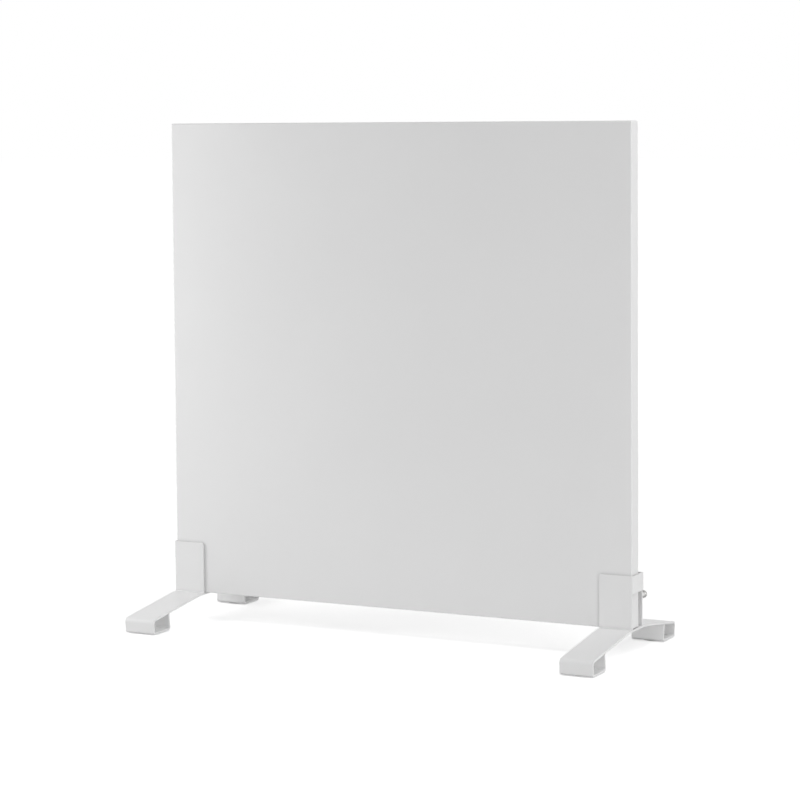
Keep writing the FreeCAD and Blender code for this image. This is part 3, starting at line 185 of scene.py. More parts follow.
class HeaterStage(bpy.types.PropertyGroup):
    """Camera, floor and lamps."""

    camera_place: FloatVectorProperty(
        name="Camera place", description="Where the camera stands", size=3,
        default=(1.3722, -2.7059, 0.6118), subtype="TRANSLATION", unit="LENGTH",
    )
    camera_turn: angle("Camera turn", "Turn from straight ahead", 26.79)
    camera_dip: angle("Camera dip", "Tilt below level", 4.129)
    camera_roll: angle("Camera roll", "Roll about the view", -0.447)
    camera_lens: FloatProperty(
        name="Lens", description="Focal length in mm", default=116.786, min=1.0
    )
    camera_rise: FloatProperty(name="Shift", description="Vertical lens shift", default=-0.12)
    floor: colour("Floor", "Plain white floor", (0.95, 0.95, 0.95))
    floor_reach: length("Floor reach", "Object to each edge of the floor", 30.0)
    near_lift: share("Near lift", "Added white of the floor at the object's shadow", 0.48)
    near_reach: length("Near reach", "Distance up to which the floor keeps the near lift", 0.4)
    far_lift: share("Far lift", "Added white of the far floor in the picture", 0.77)
    far_reach: length("Far reach", "Distance from which the floor has the far lift", 2.4)
    ambient: FloatProperty(name="Ambient", description="Strength of the even light", default=0.25)
    key: power("Key lamp", "Lamp at the front left", 4.5)
    left: power("Left lamp", "Large lamp at the left", 4.2)
    right: power("Right lamp", "Large lamp at the right", 2.0)
    fill: power("Fill lamp", "Low lamp at the front right", 5.8)
    top: power("Top lamp", "Lamp above the right-hand end", 13.0)


class HeaterSettings(bpy.types.PropertyGroup):
    """All settings of the heater."""

    finish: PointerProperty(type=HeaterFinish)
    sizes: PointerProperty(type=HeaterSizes)
    stage: PointerProperty(type=HeaterStage)


def settings():
    """The scene's settings."""
    return bpy.context.scene.heater


# Shader nodes


def node(tree, kind, **values):
    """New node with its settings."""
    made = tree.nodes.new(kind)
    for name, value in values.items():
        setattr(made, name, value)
    return made


def feed(tree, value, socket):
    """Link a socket to another, or set it to a plain value."""
    if isinstance(value, bpy.types.NodeSocket):
        tree.links.new(value, socket)
    else:
        socket.default_value = value


def math_node(tree, operation, first, second):
    """Math on two values, each a socket or a number; gives the result's socket."""
    made = node(tree, "ShaderNodeMath", operation=operation)
    feed(tree, first, made.inputs[0])
    feed(tree, second, made.inputs[1])
    return made.outputs[0]


def remap(tree, value, low, high, source=NOISE_RANGE):
    """Map a value from its source range to a range given by numbers or sockets."""
    made = node(tree, "ShaderNodeMapRange")
    feed(tree, value, made.inputs["Value"])
    feed(tree, source[0], made.inputs["From Min"])
    feed(tree, source[1], made.inputs["From Max"])
    feed(tree, low, made.inputs["To Min"])
    feed(tree, high, made.inputs["To Max"])
    return made.outputs["Result"]


def noise(tree, vector, scale, detail):
    """Noise value at a scale per metre."""
    made = node(tree, "ShaderNodeTexNoise")
    feed(tree, vector, made.inputs["Vector"])
    feed(tree, scale, made.inputs["Scale"])
    feed(tree, detail, made.inputs["Detail"])
    return made.outputs["Fac"]


def toned(tree, tint, tone):
    """Colour times a tone."""
    made = node(tree, "ShaderNodeVectorMath", operation="SCALE")
    feed(tree, tint, made.inputs[0])
    feed(tree, tone, made.inputs["Scale"])
    return made.outputs[0]


def rgba(value):
    """Colour with full alpha."""
    return (*value, 1.0)


def ramp(tree, value, first, second, start=0.0, end=1.0):
    """Colour that goes from the first to the second as a value goes from start to end."""
    made = node(tree, "ShaderNodeValToRGB")
    for element, place, tint in zip(made.color_ramp.elements, (start, end), (first, second)):
        element.position = place
        element.color = rgba(tint)
    tree.links.new(value, made.inputs["Fac"])
    return made.outputs["Color"]


# Shader groups


def surface_group(name, inputs):
    """Empty group for a surface with named inputs; gives the group and its two end nodes."""
    group = bpy.data.node_groups.new(name, "ShaderNodeTree")
    for label, kind in inputs:
        group.interface.new_socket(label, in_out="INPUT", socket_type="NodeSocket" + kind)
    for label, kind in (("Colour", "Color"), ("Roughness", "Float"), ("Height", "Float")):
        group.interface.new_socket(label, in_out="OUTPUT", socket_type="NodeSocket" + kind)
    return group, group.nodes.new("NodeGroupInput"), group.nodes.new("NodeGroupOutput")


def grained_surface():
    """Group for coated, moulded and rubber surfaces: fine grain, faint patches, varied sheen."""
    name = "grained_surface"
    if name in bpy.data.node_groups:
        return bpy.data.node_groups[name]
    group, start, end = surface_group(
        name,
        (("Vector", "Vector"), ("Colour", "Color"), ("Grain size", "Float"), ("Patch size", "Float"),
         ("Patch depth", "Float"), ("Roughness", "Float")),
    )
    given = start.outputs
    grain_scale = math_node(group, "DIVIDE", 1.0, given["Grain size"])
    grain = noise(group, given["Vector"], grain_scale, detail=2.0)
    patch_scale = math_node(group, "DIVIDE", 1.0, given["Patch size"])
    patch = noise(group, given["Vector"], patch_scale, detail=1.5)
    dullest = math_node(group, "SUBTRACT", 1.0, given["Patch depth"])
    tint = toned(group, given["Colour"], remap(group, patch, dullest, 1.0))
    sheen = remap(group, grain, low=0.92, high=1.08)
    roughness = math_node(group, "MULTIPLY", given["Roughness"], sheen)
    group.links.new(tint, end.inputs["Colour"])
    group.links.new(roughness, end.inputs["Roughness"])
    group.links.new(grain, end.inputs["Height"])
    return group


def drawn_metal():
    """Group for plated and bare metal: fine drawn lines along one axis and cloudy tone."""
    name = "drawn_metal"
    if name in bpy.data.node_groups:
        return bpy.data.node_groups[name]
    group, start, end = surface_group(
        name,
        (("Vector", "Vector"), ("Colour", "Color"), ("Stretch", "Vector"), ("Patch size", "Float"),
         ("Roughness", "Float")),
    )
    given = start.outputs
    stretched = node(group, "ShaderNodeVectorMath", operation="MULTIPLY")
    group.links.new(given["Vector"], stretched.inputs[0])
    group.links.new(given["Stretch"], stretched.inputs[1])
    lines = noise(group, stretched.outputs[0], scale=1.0, detail=3.0)
    patch_scale = math_node(group, "DIVIDE", 1.0, given["Patch size"])
    patch = noise(group, given["Vector"], patch_scale, detail=2.0)
    tint = toned(group, given["Colour"], remap(group, patch, low=0.88, high=1.0))
    sheen = remap(group, lines, low=0.8, high=1.25)
    roughness = math_node(group, "MULTIPLY", given["Roughness"], sheen)
    group.links.new(tint, end.inputs["Colour"])
    group.links.new(roughness, end.inputs["Roughness"])
    group.links.new(lines, end.inputs["Height"])
    return group


# Materials


class Finish:
    """A material under construction, with its shader and Object coordinates at hand."""

    def __init__(self, name, metallic=0.0):
        self.material = bpy.data.materials.new(name)
        self.material.use_nodes = True
        self.tree = self.material.node_tree
        self.shader = self.tree.nodes["Principled BSDF"]
        self.shader.inputs["Metallic"].default_value = metallic
        self.place = node(self.tree, "ShaderNodeTexCoord").outputs["Object"]

    def set(self, value, name):
        """Feed one of the shader's sockets from a socket or a plain value."""
        feed(self.tree, value, self.shader.inputs[name])

    def bump(self, height, strength, distance):
        """Raise the surface by a height."""
        made = node(self.tree, "ShaderNodeBump")
        feed(self.tree, strength, made.inputs["Strength"])
        feed(self.tree, distance, made.inputs["Distance"])
        feed(self.tree, height, made.inputs["Height"])
        self.set(made.outputs["Normal"], "Normal")

    def add_group(self, group, **values):
        """Place a shader group, set its inputs and feed colour and roughness from it."""
        made = node(self.tree, "ShaderNodeGroup", node_tree=group)
        feed(self.tree, self.place, made.inputs["Vector"])
        for name, value in values.items():
            feed(self.tree, value, made.inputs[name.replace("_", " ")])
        self.set(made.outputs["Colour"], "Base Color")
        self.set(made.outputs["Roughness"], "Roughness")
        return made.outputs["Height"]

    def painted_shade(self, reach, depth):
        """Paint shade into the colour along seams and inner corners, darkening it by ambient occlusion."""
        tint = self.shader.inputs["Base Color"].links[0].from_socket
        # Painted shade: the colour is darkened where ambient occlusion finds nearby surfaces.
        openness = node(self.tree, "ShaderNodeAmbientOcclusion", samples=8)
        openness.inputs["Distance"].default_value = reach
        tone = remap(self.tree, openness.outputs["AO"], 1.0 - depth, 1.0, source=(0.0, 1.0))
        self.set(toned(self.tree, tint, tone), "Base Color")


def grained(name, tint, roughness, grain, patch, depth, bump, painted_shade=None):
    """Finish of a coated, moulded or rubber surface, with painted shade in its creases and seams where
    that is asked for.
    """
    if name in bpy.data.materials:
        return bpy.data.materials[name]
    relief = grain / 20
    finish = Finish(name)
    height = finish.add_group(
        grained_surface(), Colour=rgba(tint), Roughness=roughness, Grain_size=grain, Patch_size=patch,
        Patch_depth=depth,
    )
    finish.bump(height, bump, relief)
    # Painted shade in creases and seams, when asked for.
    if painted_shade:
        finish.painted_shade(*painted_shade)
    return finish.material


def drawn(name, tint, roughness, stretch):
    """Finish of plated or bare metal, its drawn lines as many per metre as the stretch says."""
    if name in bpy.data.materials:
        return bpy.data.materials[name]
    finish = Finish(name, metallic=1.0)
    height = finish.add_group(
        drawn_metal(), Colour=rgba(tint), Roughness=roughness, Stretch=stretch, Patch_size=0.006
    )
    finish.bump(height, strength=0.1, distance=0.00003)
    return finish.material


def striped(name, pitch, direction, first, second, roughness):
    """Finish with even stripes across one axis, such as printed film or an earth lead's sleeve."""
    finish = Finish(name)
    stripes = node(finish.tree, "ShaderNodeTexWave", wave_type="BANDS", bands_direction=direction)
    stripes.inputs["Scale"].default_value = math.pi / (10.0 * pitch)
    stripes.inputs["Distortion"].default_value = 0.0
    finish.tree.links.new(finish.place, stripes.inputs["Vector"])
    finish.set(ramp(finish.tree, stripes.outputs["Color"], first, second, 0.46, 0.54), "Base Color")
    wear = noise(finish.tree, finish.place, scale=400.0, detail=2.0)
    finish.set(remap(finish.tree, wear, roughness, roughness + 0.15), "Roughness")
    return finish.material


def white_coat():
    """White powder coat with orange peel, and painted shade along its seams and inner corners."""
    looks = settings().finish
    return grained(
        "white_coat", looks.coat, looks.coat_roughness, grain=looks.coat_grain, patch=looks.coat_mottle,
        # Painted shade along the coat's seams and inner corners.
        depth=0.015, bump=0.12, painted_shade=(looks.painted_shade_reach, looks.painted_shade_depth),
    )


def zinc_plate():
    """Bright zinc plating."""
    looks = settings().finish
    return drawn("zinc_plate", looks.zinc, looks.zinc_roughness, stretch=(900.0, 120.0, 900.0))


def turned_brass():
    """Brass with fine marks of turning."""
    return drawn("turned_brass", settings().finish.brass, 0.3, stretch=(900.0, 150.0, 900.0))


def rolled_copper():
    """Copper strip with marks along its length."""
    return drawn("rolled_copper", settings().finish.copper, 0.32, stretch=(700.0, 700.0, 25.0))


def moulded_black():
    """Moulded plastic with a fine spark texture."""
    looks = settings().finish
    return grained(
        "moulded_black", looks.plastic, 0.5, grain=looks.plastic_grain, patch=0.03, depth=0.2, bump=0.35
    )


def moulded_block():
    """Smooth pale plastic of the terminal block."""
    looks = settings().finish
    return grained("moulded_block", looks.block, 0.45, grain=0.0008, patch=0.01, depth=0.08, bump=0.2)


def sleeve(name, tint):
    """Plastic sleeve of a lead."""
    return grained(name, tint, 0.45, grain=0.0006, patch=0.02, depth=0.2, bump=0.2)


def grey_rubber():
    """Grey rubber of the floor pads."""
    looks = settings().finish
    return grained("grey_rubber", looks.rubber, 0.75, grain=0.0012, patch=0.012, depth=0.12, bump=0.4)


def seal_rubber():
    """Black rubber."""
    looks = settings().finish
    return grained("seal_rubber", looks.seal, 0.65, grain=0.0007, patch=0.008, depth=0.25, bump=0.3)


def earth_sleeve():
    """Green and yellow sleeve of the earth lead."""
    looks = settings().finish
    return striped("earth_sleeve", 0.003, "DIAGONAL", looks.green, looks.yellow, roughness=0.4)


def printed_film():
    """Heating film with its printed tracks."""
    looks = settings().finish
    return striped("printed_film", 0.012, "X", looks.film, looks.track, roughness=0.4)


def pressed_mica():
    """Mica paper: overlapping flakes of tan and silver."""
    looks = settings().finish
    finish = Finish("pressed_mica")
    flakes = node(finish.tree, "ShaderNodeTexVoronoi")
    flakes.inputs["Scale"].default_value = 160.0
    finish.tree.links.new(finish.place, flakes.inputs["Vector"])
    finish.set(ramp(finish.tree, flakes.outputs["Color"], looks.mica_dark, looks.mica_pale), "Base Color")
    finish.set(0.38, "Roughness")
    finish.bump(flakes.outputs["Distance"], strength=0.2, distance=0.0001)
    return finish.material


def crinkled_foil():
    """Bright foil with soft creases, its colour painted darker in the hollows as shade."""
    looks = settings().finish
    finish = Finish("crinkled_foil", metallic=1.0)
    creases = noise(finish.tree, finish.place, scale=60.0, detail=5.0)
    # Painted shade: darker colour in the hollows of the bump, the foil's own bright colour on the crests.
    finish.set(ramp(finish.tree, creases, looks.foil_painted_shade, looks.foil_pale, 0.2, 0.8), "Base Color")
    finish.set(remap(finish.tree, creases, low=0.2, high=0.4), "Roughness")
    finish.bump(creases, strength=0.6, distance=0.0015)
    return finish.material


def pressed_wool():
    """Mineral-wool board: long fibres pressed flat, with painted shade in the gaps between them."""
    looks = settings().finish
    finish = Finish("pressed_wool")
    laid = node(finish.tree, "ShaderNodeMapping")
    laid.inputs["Scale"].default_value = (60.0, 900.0, 500.0)
    finish.tree.links.new(finish.place, laid.inputs["Vector"])
    fibres = noise(finish.tree, laid.outputs["Vector"], scale=1.0, detail=6.0)
    # Painted shade in the low gaps of the bump, the fibres' own colour on the high ones.
    finish.set(ramp(finish.tree, fibres, looks.wool_painted_shade, looks.wool_pale, 0.25, 0.75), "Base Color")
    finish.set(0.95, "Roughness")
    finish.bump(fibres, strength=0.8, distance=0.001)
    return finish.material


# Meshes


def link_new(name, mesh):
    """New object at the origin."""
    piece = bpy.data.objects.new(name, mesh)
    bpy.context.scene.collection.objects.link(piece)
    return piece


def bake(piece):
    """Turn a piece's live modifiers into a plain mesh."""
    graph = bpy.context.evaluated_depsgraph_get()
    graph.update()
    mesh = bpy.data.meshes.new_from_object(piece.evaluated_get(graph))
    piece.modifiers.clear()
    piece.data = mesh
    if not mesh.polygons:
        raise RuntimeError(f"{piece.name} came out empty")
    return piece


def even_normals(piece):
    """Shade smooth, with the large flat faces keeping their own direction."""
    piece.data.shade_smooth()
    piece.data.set_sharp_from_angle(angle=SHARP_TURN)
    weigh = piece.modifiers.new("even_normals", "WEIGHTED_NORMAL")
    weigh.keep_sharp = True
    weigh.weight = 90
    return bake(piece)


def joined_copy(name):
    """A CAD node's loose triangles joined at their corners, to work on."""
    work = bmesh.new()
    work.from_mesh(NODES[name].data)
    bmesh.ops.remove_doubles(work, verts=work.verts, dist=SAME_POINT)
    return work


def mesh_of(work, name):
    """New mesh from a finished bmesh, which is freed."""
    mesh = bpy.data.meshes.new(name)
    work.to_mesh(mesh)
    work.free()
    return mesh


def stand_for(piece, material, name):
    """Give a piece its finish and let it take a CAD node's place on the node's body."""
    piece.data.materials.clear()
    piece.data.materials.append(material)
    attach(piece, NODES[name]["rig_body"])
    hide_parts(name)


def dress(name, material, edge):
    """Stand a smooth copy of a CAD node, with rounded edges, in its place."""
    work = joined_copy(name)
    bmesh.ops.dissolve_limit(work, angle_limit=FLAT_TURN, verts=work.verts, edges=work.edges)
    piece = link_new(name + "_finish", mesh_of(work, name + "_finish"))
    rounding = piece.modifiers.new("rounding", "BEVEL")
    rounding.width = edge
    rounding.segments = 2
    rounding.limit_method = "ANGLE"
    rounding.angle_limit = SHARP_TURN
    bake(piece)
    even_normals(piece)
    stand_for(piece, material, name)


def paint(finishes):
    """Give CAD nodes themselves their finishes."""
    for name, material in finishes.items():
        NODES[name].data.materials.clear()
        NODES[name].data.materials.append(material)


def solids_of(name):
    """Lowest and highest corner of each separate solid in a CAD node."""
    work = joined_copy(name)
    left = set(work.verts)
    boxes = []
    while left:
        found = [left.pop()]
        low = high = found[0].co.copy()
        while found:
            here = found.pop()
            low = Vector(map(min, low, here.co))
            high = Vector(map(max, high, here.co))
            near = {edge.other_vert(here) for edge in here.link_edges} & left
            left -= near
            found += near
        boxes.append((low, high))
    work.free()
    return boxes


def lathe(name, profile, steps):
    """Mesh turned about the Y axis from (radius, distance along the axis) points."""
    work = bmesh.new()
    line = [work.verts.new((radius, along, 0.0)) for radius, along in profile]
    edges = [work.edges.new(pair) for pair in zip(line, line[1:])]
    bmesh.ops.spin(
        work, geom=line + edges, cent=(0, 0, 0), axis=(0, 1, 0), angle=math.tau, steps=steps,
    )
    bmesh.ops.remove_doubles(work, verts=work.verts, dist=SAME_POINT_ON_FASTENER)
    bmesh.ops.recalc_face_normals(work, faces=work.faces)
    return mesh_of(work, name)


def cross_recess():
    """Tool that cuts a screw's cross recess: two crossed bars that narrow downwards."""
    bar_size = (0.56, 0.4, 0.13)
    bar_height = 0.34
    foot_length, foot_width = 0.55, 0.7
    work = bmesh.new()
    for turn in (0.0, math.pi / 2):
        bar = bmesh.ops.create_cube(work, size=1.0)["verts"]
        bmesh.ops.scale(work, verts=bar, vec=bar_size)
        bmesh.ops.translate(work, verts=bar, vec=(0.0, bar_height, 0.0))
        for vert in bar:
            if vert.co.y < bar_height:
                vert.co.x *= foot_length
                vert.co.z *= foot_width
        bmesh.ops.rotate(work, verts=bar, cent=(0, 0, 0), matrix=Matrix.Rotation(turn, 3, "Y"))
    return link_new("cross_recess", mesh_of(work, "cross_recess"))


def screw_master():
    """Pan-head screw with a cross recess, its head one unit wide and its seat at the origin."""
    profile = (
        (0.0, -1.2), (0.12, -1.2), (0.22, -1.08), (0.22, 0.0), (0.5, 0.0), (0.5, 0.08), (0.47, 0.17),
        (0.4, 0.235), (0.28, 0.28), (0.0, 0.3),
    )
    screw = link_new("pan_screw", lathe("pan_screw", profile, steps=28))
    tool = cross_recess()
    recess = screw.modifiers.new("recess", "BOOLEAN")
    recess.operation = "DIFFERENCE"
    recess.object = tool
    recess.use_self = True
    bake(screw)
    bpy.data.objects.remove(tool)
    return even_normals(screw)


def insert_master():
    """Threaded insert, its flange one unit wide and seated at the origin."""
    barrel, depth = 0.375, 0.9
    crest, root = 0.232, 0.25
    pitch, threads = 0.083, 11
    mouth, flank = 0.03, 0.04
    profile = [
        (barrel, -depth), (barrel, 0.0), (0.5, 0.0), (0.5, 0.045), (0.478, 0.066), (0.27, 0.066),
    ]
    for turn in range(threads):
        along = mouth - turn * pitch
        profile += [(root, along), (crest, along - flank)]
    profile += [(root, -depth), (barrel, -depth)]
    return even_normals(link_new("threaded_insert", lathe("threaded_insert", profile, steps=32)))


# Geometry node trees


def new_tree(name, inputs):
    """Geometry tree with named inputs; gives the tree and its two end nodes."""
    tree = bpy.data.node_groups.new(name, "GeometryNodeTree")
    tree.interface.new_socket("Geometry", in_out="INPUT", socket_type="NodeSocketGeometry")
    for label, kind in inputs:
        tree.interface.new_socket(label, in_out="INPUT", socket_type="NodeSocket" + kind)
    tree.interface.new_socket("Geometry", in_out="OUTPUT", socket_type="NodeSocketGeometry")
    return tree, tree.nodes.new("NodeGroupInput"), tree.nodes.new("NodeGroupOutput")


def close_tree(tree, start, end, geometry):
    """End a tree in plain geometry with its finish."""
    plain = node(tree, "GeometryNodeRealizeInstances")
    painted = node(tree, "GeometryNodeSetMaterial")
    tree.links.new(geometry, plain.inputs["Geometry"])
    tree.links.new(plain.outputs["Geometry"], painted.inputs["Geometry"])
    tree.links.new(start.outputs["Finish"], painted.inputs["Material"])
    tree.links.new(painted.outputs["Geometry"], end.inputs["Geometry"])
    return tree


def apply_tree(piece, tree, **values):
    """Run a tree on a piece with its inputs set, and keep the result as a plain mesh."""
    modifier = piece.modifiers.new(tree.name, "NODES")
    modifier.node_group = tree
    for item in tree.interface.items_tree:
        key = item.name.replace(" ", "_")
        if item.in_out == "INPUT" and key in values:
            modifier[item.identifier] = values[key]
    return bake(piece)


def fastener_tree():
    """Tree that sets one fastener on every point, each with a turn of its own."""
    name = "fastener_pattern"
    if name in bpy.data.node_groups:
        return bpy.data.node_groups[name]
    tree, start, end = new_tree(
        name,
        (("Fastener", "Object"), ("Head diameter", "Float"), ("Turn", "Float"), ("Seed", "Int"),
         ("Finish", "Material")),
    )
    master = node(tree, "GeometryNodeObjectInfo")
    master.inputs["As Instance"].default_value = True
    tree.links.new(start.outputs["Fastener"], master.inputs["Object"])
    turn = node(tree, "FunctionNodeRandomValue", data_type="FLOAT")
    low, high = [socket for socket in turn.inputs if socket.type == "VALUE" and socket.enabled][:2]
    low.default_value = 0.0
    tree.links.new(start.outputs["Turn"], high)
    tree.links.new(start.outputs["Seed"], turn.inputs["Seed"])
    about = node(tree, "ShaderNodeCombineXYZ")
    spun = [socket for socket in turn.outputs if socket.enabled][0]
    tree.links.new(spun, about.inputs["Y"])
    setter = node(tree, "GeometryNodeInstanceOnPoints")
    tree.links.new(start.outputs["Geometry"], setter.inputs["Points"])
    tree.links.new(master.outputs["Geometry"], setter.inputs["Instance"])
    tree.links.new(about.outputs["Vector"], setter.inputs["Rotation"])
    tree.links.new(start.outputs["Head diameter"], setter.inputs["Scale"])
    return close_tree(tree, start, end, setter.outputs["Instances"])


def strip_tree():
    """Tree that bends a flat strip along a line of corners, each with its own bend radius."""
    name = "bent_strip"
    if name in bpy.data.node_groups:
        return bpy.data.node_groups[name]
    tree, start, end = new_tree(
        name,
        (("Strip width", "Float"), ("Strip thickness", "Float"), ("Edge radius", "Float"),
         ("Bend steps", "Int"), ("Finish", "Material")),
    )
    line = node(tree, "GeometryNodeMeshToCurve")
    tree.links.new(start.outputs["Geometry"], line.inputs["Mesh"])
    bend = node(tree, "GeometryNodeInputNamedAttribute", data_type="FLOAT")
    bend.inputs["Name"].default_value = "bend"
    path = node(tree, "GeometryNodeFilletCurve", mode="POLY")
    tree.links.new(line.outputs["Curve"], path.inputs["Curve"])
    tree.links.new(bend.outputs["Attribute"], path.inputs["Radius"])
    tree.links.new(start.outputs["Bend steps"], path.inputs["Count"])
    section = node(tree, "GeometryNodeCurvePrimitiveQuadrilateral")
    tree.links.new(start.outputs["Strip width"], section.inputs["Width"])
    tree.links.new(start.outputs["Strip thickness"], section.inputs["Height"])
    eased = node(tree, "GeometryNodeFilletCurve", mode="POLY")
    eased.inputs["Count"].default_value = 3
    tree.links.new(section.outputs["Curve"], eased.inputs["Curve"])
    tree.links.new(start.outputs["Edge radius"], eased.inputs["Radius"])
    swept = node(tree, "GeometryNodeCurveToMesh")
    swept.inputs["Fill Caps"].default_value = True
    tree.links.new(path.outputs["Curve"], swept.inputs["Curve"])
    tree.links.new(eased.outputs["Curve"], swept.inputs["Profile Curve"])
    return close_tree(tree, start, end, swept.outputs["Mesh"])


def half_strip(sign, leg_start, saddle, base):
    """Corners of half a foot's middle line from the saddle out, as (Y, Z, bend radius)."""
    sizes = settings().sizes
    run = sizes.end_reach - leg_start
    slant = math.hypot(run, sizes.leg_drop)
    sine, cosine = sizes.leg_drop / slant, run / slant
    end_height = saddle - sizes.leg_drop
    toe = sizes.end_reach - (end_height - base) * sizes.leg_drop / run
    heel = toe - sizes.base_length
    clear = sizes.strip_sheet / 2 + sizes.fold_gap
    wall = (saddle - base) * cosine - (heel - leg_start) * sine - clear
    corners = (
        (leg_start, saddle, sizes.leg_bend),
        (sizes.end_reach, end_height, sizes.end_bend),
        (toe, base, sizes.base_bend),
        (heel, base, sizes.heel_bend),
        (heel + wall * sine, base + wall * cosine, 0.0),
    )
    return [(sign * y, z, bend) for y, z, bend in corners]


def strip_line(name):
    """Mesh of one foot's middle line, with the bend radius kept on each corner."""
    sizes = settings().sizes
    low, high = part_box(name)
    saddle = high.z - sizes.strip_sheet / 2
    base = low.z + sizes.strip_sheet / 2
    front = half_strip(-1, sizes.leg_front, saddle, base)
    rear = half_strip(1, sizes.leg_rear, saddle, base)
    corners = front[::-1] + rear
    middle = (low.x + high.x) / 2
    points = [(middle, y, z) for y, z, bend in corners]
    runs = [(corner, corner + 1) for corner in range(len(corners) - 1)]
    mesh = bpy.data.meshes.new(name + "_finish")
    mesh.from_pydata(points, runs, [])
    bends = mesh.attributes.new("bend", "FLOAT", "POINT")
    bends.data.foreach_set("value", [bend for y, z, bend in corners])
    return mesh


def bend_strip(name):
    """Stand a strip bent along its middle line in place of a foot's CAD strip."""
    sizes = settings().sizes
    low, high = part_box(name)
    piece = link_new(name + "_finish", strip_line(name))
    apply_tree(
        piece, strip_tree(), Strip_width=high.x - low.x, Strip_thickness=sizes.strip_sheet,
        Edge_radius=sizes.strip_edge, Bend_steps=sizes.strip_steps, Finish=white_coat(),
    )
    even_normals(piece)
    stand_for(piece, white_coat(), name)


def set_fasteners(name, master, seat_below, head, material):
    """Set a row of like fasteners where a CAD node has them."""
    spots = []
    for low, high in solids_of(name):
        spots.append(((low.x + high.x) / 2, high.y - seat_below, (low.z + high.z) / 2))
    mesh = bpy.data.meshes.new(name + "_finish")
    mesh.from_pydata(sorted(spots), [], [])
    piece = link_new(name + "_finish", mesh)
    apply_tree(
        piece, fastener_tree(), Fastener=master, Head_diameter=head, Turn=math.tau,
        Seed=settings().sizes.screw_seed, Finish=material,
    )
    bpy.data.objects.remove(master)
    even_normals(piece)
    stand_for(piece, material, name)


# Stage


def picture_rays(tree):
    """One where the ray shows the background: to the camera, in gloss or through glass."""
    path = node(tree, "ShaderNodeLightPath")
    either = math_node(tree, "MAXIMUM", path.outputs["Is Camera Ray"], path.outputs["Is Glossy Ray"])
    return math_node(tree, "MAXIMUM", either, path.outputs["Is Transmission Ray"])


def pale_floor():
    """Matt white with faint clouds, lifted in the picture by more the further it lies away."""
    stage = settings().stage
    finish = Finish("pale_floor")
    clouds = noise(finish.tree, finish.place, scale=3.0, detail=2.0)
    tone = remap(finish.tree, clouds, low=0.985, high=1.0)
    finish.set(toned(finish.tree, stage.floor, tone), "Base Color")
    finish.set(0.9, "Roughness")
    finish.set(0.0, "Specular IOR Level")
    finish.set(WHITE, "Emission Color")
    away = node(finish.tree, "ShaderNodeVectorMath", operation="LENGTH")
    finish.tree.links.new(finish.place, away.inputs[0])
    reach = (stage.near_reach, stage.far_reach)
    lift = remap(finish.tree, away.outputs["Value"], stage.near_lift, stage.far_lift, source=reach)
    seen = picture_rays(finish.tree)
    finish.set(math_node(finish.tree, "MULTIPLY", seen, lift), "Emission Strength")
    return finish.material


def lay_floor():
    """Plain pale floor that shows white in the picture, apart from the object's shadow."""
    reach = settings().stage.floor_reach
    corners = [(-reach, -reach, 0), (reach, -reach, 0), (reach, reach, 0), (-reach, reach, 0)]
    mesh = bpy.data.meshes.new("floor")
    mesh.from_pydata(corners, [], [(0, 1, 2, 3)])
    floor = link_new("floor", mesh)
    mesh.materials.append(pale_floor())


def light_evenly(scene):
    """Even light from all round, with a white background in the picture."""
    world = bpy.data.worlds.new("studio")
    scene.world = world
    world.use_nodes = True
    tree = world.node_tree
    tree.nodes.clear()
    even = node(tree, "ShaderNodeBackground")
    even.inputs["Color"].default_value = WHITE
    even.inputs["Strength"].default_value = settings().stage.ambient
    white = node(tree, "ShaderNodeBackground")
    white.inputs["Color"].default_value = WHITE
    mix = node(tree, "ShaderNodeMixShader")
    end = node(tree, "ShaderNodeOutputWorld")
    tree.links.new(picture_rays(tree), mix.inputs["Fac"])
    tree.links.new(even.outputs[0], mix.inputs[1])
    tree.links.new(white.outputs[0], mix.inputs[2])
    tree.links.new(mix.outputs[0], end.inputs["Surface"])


def add_lamp(name, watts, place, aim, size):
    """Soft rectangular lamp that points at a spot."""
    lamp = bpy.data.lights.new(name, "AREA")
    lamp.energy = watts
    lamp.shape = "RECTANGLE"
    lamp.size, lamp.size_y = size
    holder = bpy.data.objects.new(name, lamp)
    holder.location = place
    holder.rotation_euler = (Vector(aim) - Vector(place)).to_track_quat("-Z", "Y").to_euler()
    bpy.context.scene.collection.objects.link(holder)


def add_camera(scene):
    """Camera where the photograph was taken from."""
    stage = settings().stage
    lens = bpy.data.cameras.new("camera")
    lens.lens = stage.camera_lens
    lens.sensor_width = 36.0
    lens.shift_y = stage.camera_rise
    lens.clip_end = 200.0
    camera = bpy.data.objects.new("camera", lens)
    turn = Matrix.Rotation(stage.camera_turn, 4, "Z")
    dip = Matrix.Rotation(math.pi / 2 - stage.camera_dip, 4, "X")
    roll = Matrix.Rotation(stage.camera_roll, 4, "Z")
    camera.matrix_world = Matrix.Translation(stage.camera_place) @ turn @ dip @ roll
    scene.collection.objects.link(camera)
    scene.camera = camera


# Operators


class HEATER_OT_panel(bpy.types.Operator):
    """Coat the front tray and the rear cover"""

    bl_idname = "heater.panel"
    bl_label = "Panel and cover"

    def execute(self, context):
        edge = settings().sizes.sheet_edge
        dress("front_panel", white_coat(), edge)
        dress("rear_cover", white_coat(), edge / 2)
        return {"FINISHED"}


class HEATER_OT_feet(bpy.types.Operator):
    """Bend the strips of both feet and finish their clips, weld nuts and floor pads"""

    bl_idname = "heater.feet"
    bl_label = "Feet"

    def execute(self, context):
        edge = settings().sizes.sheet_edge
        for side in ("left", "right"):
            bend_strip(side + "_foot_strip")
            dress(side + "_foot_clip", white_coat(), edge)
            dress(side + "_clamp_nut", white_coat(), edge)
            for end in ("front", "rear"):
                dress(f"{side}_{end}_floor_pad", grey_rubber(), edge / 2)
        return {"FINISHED"}


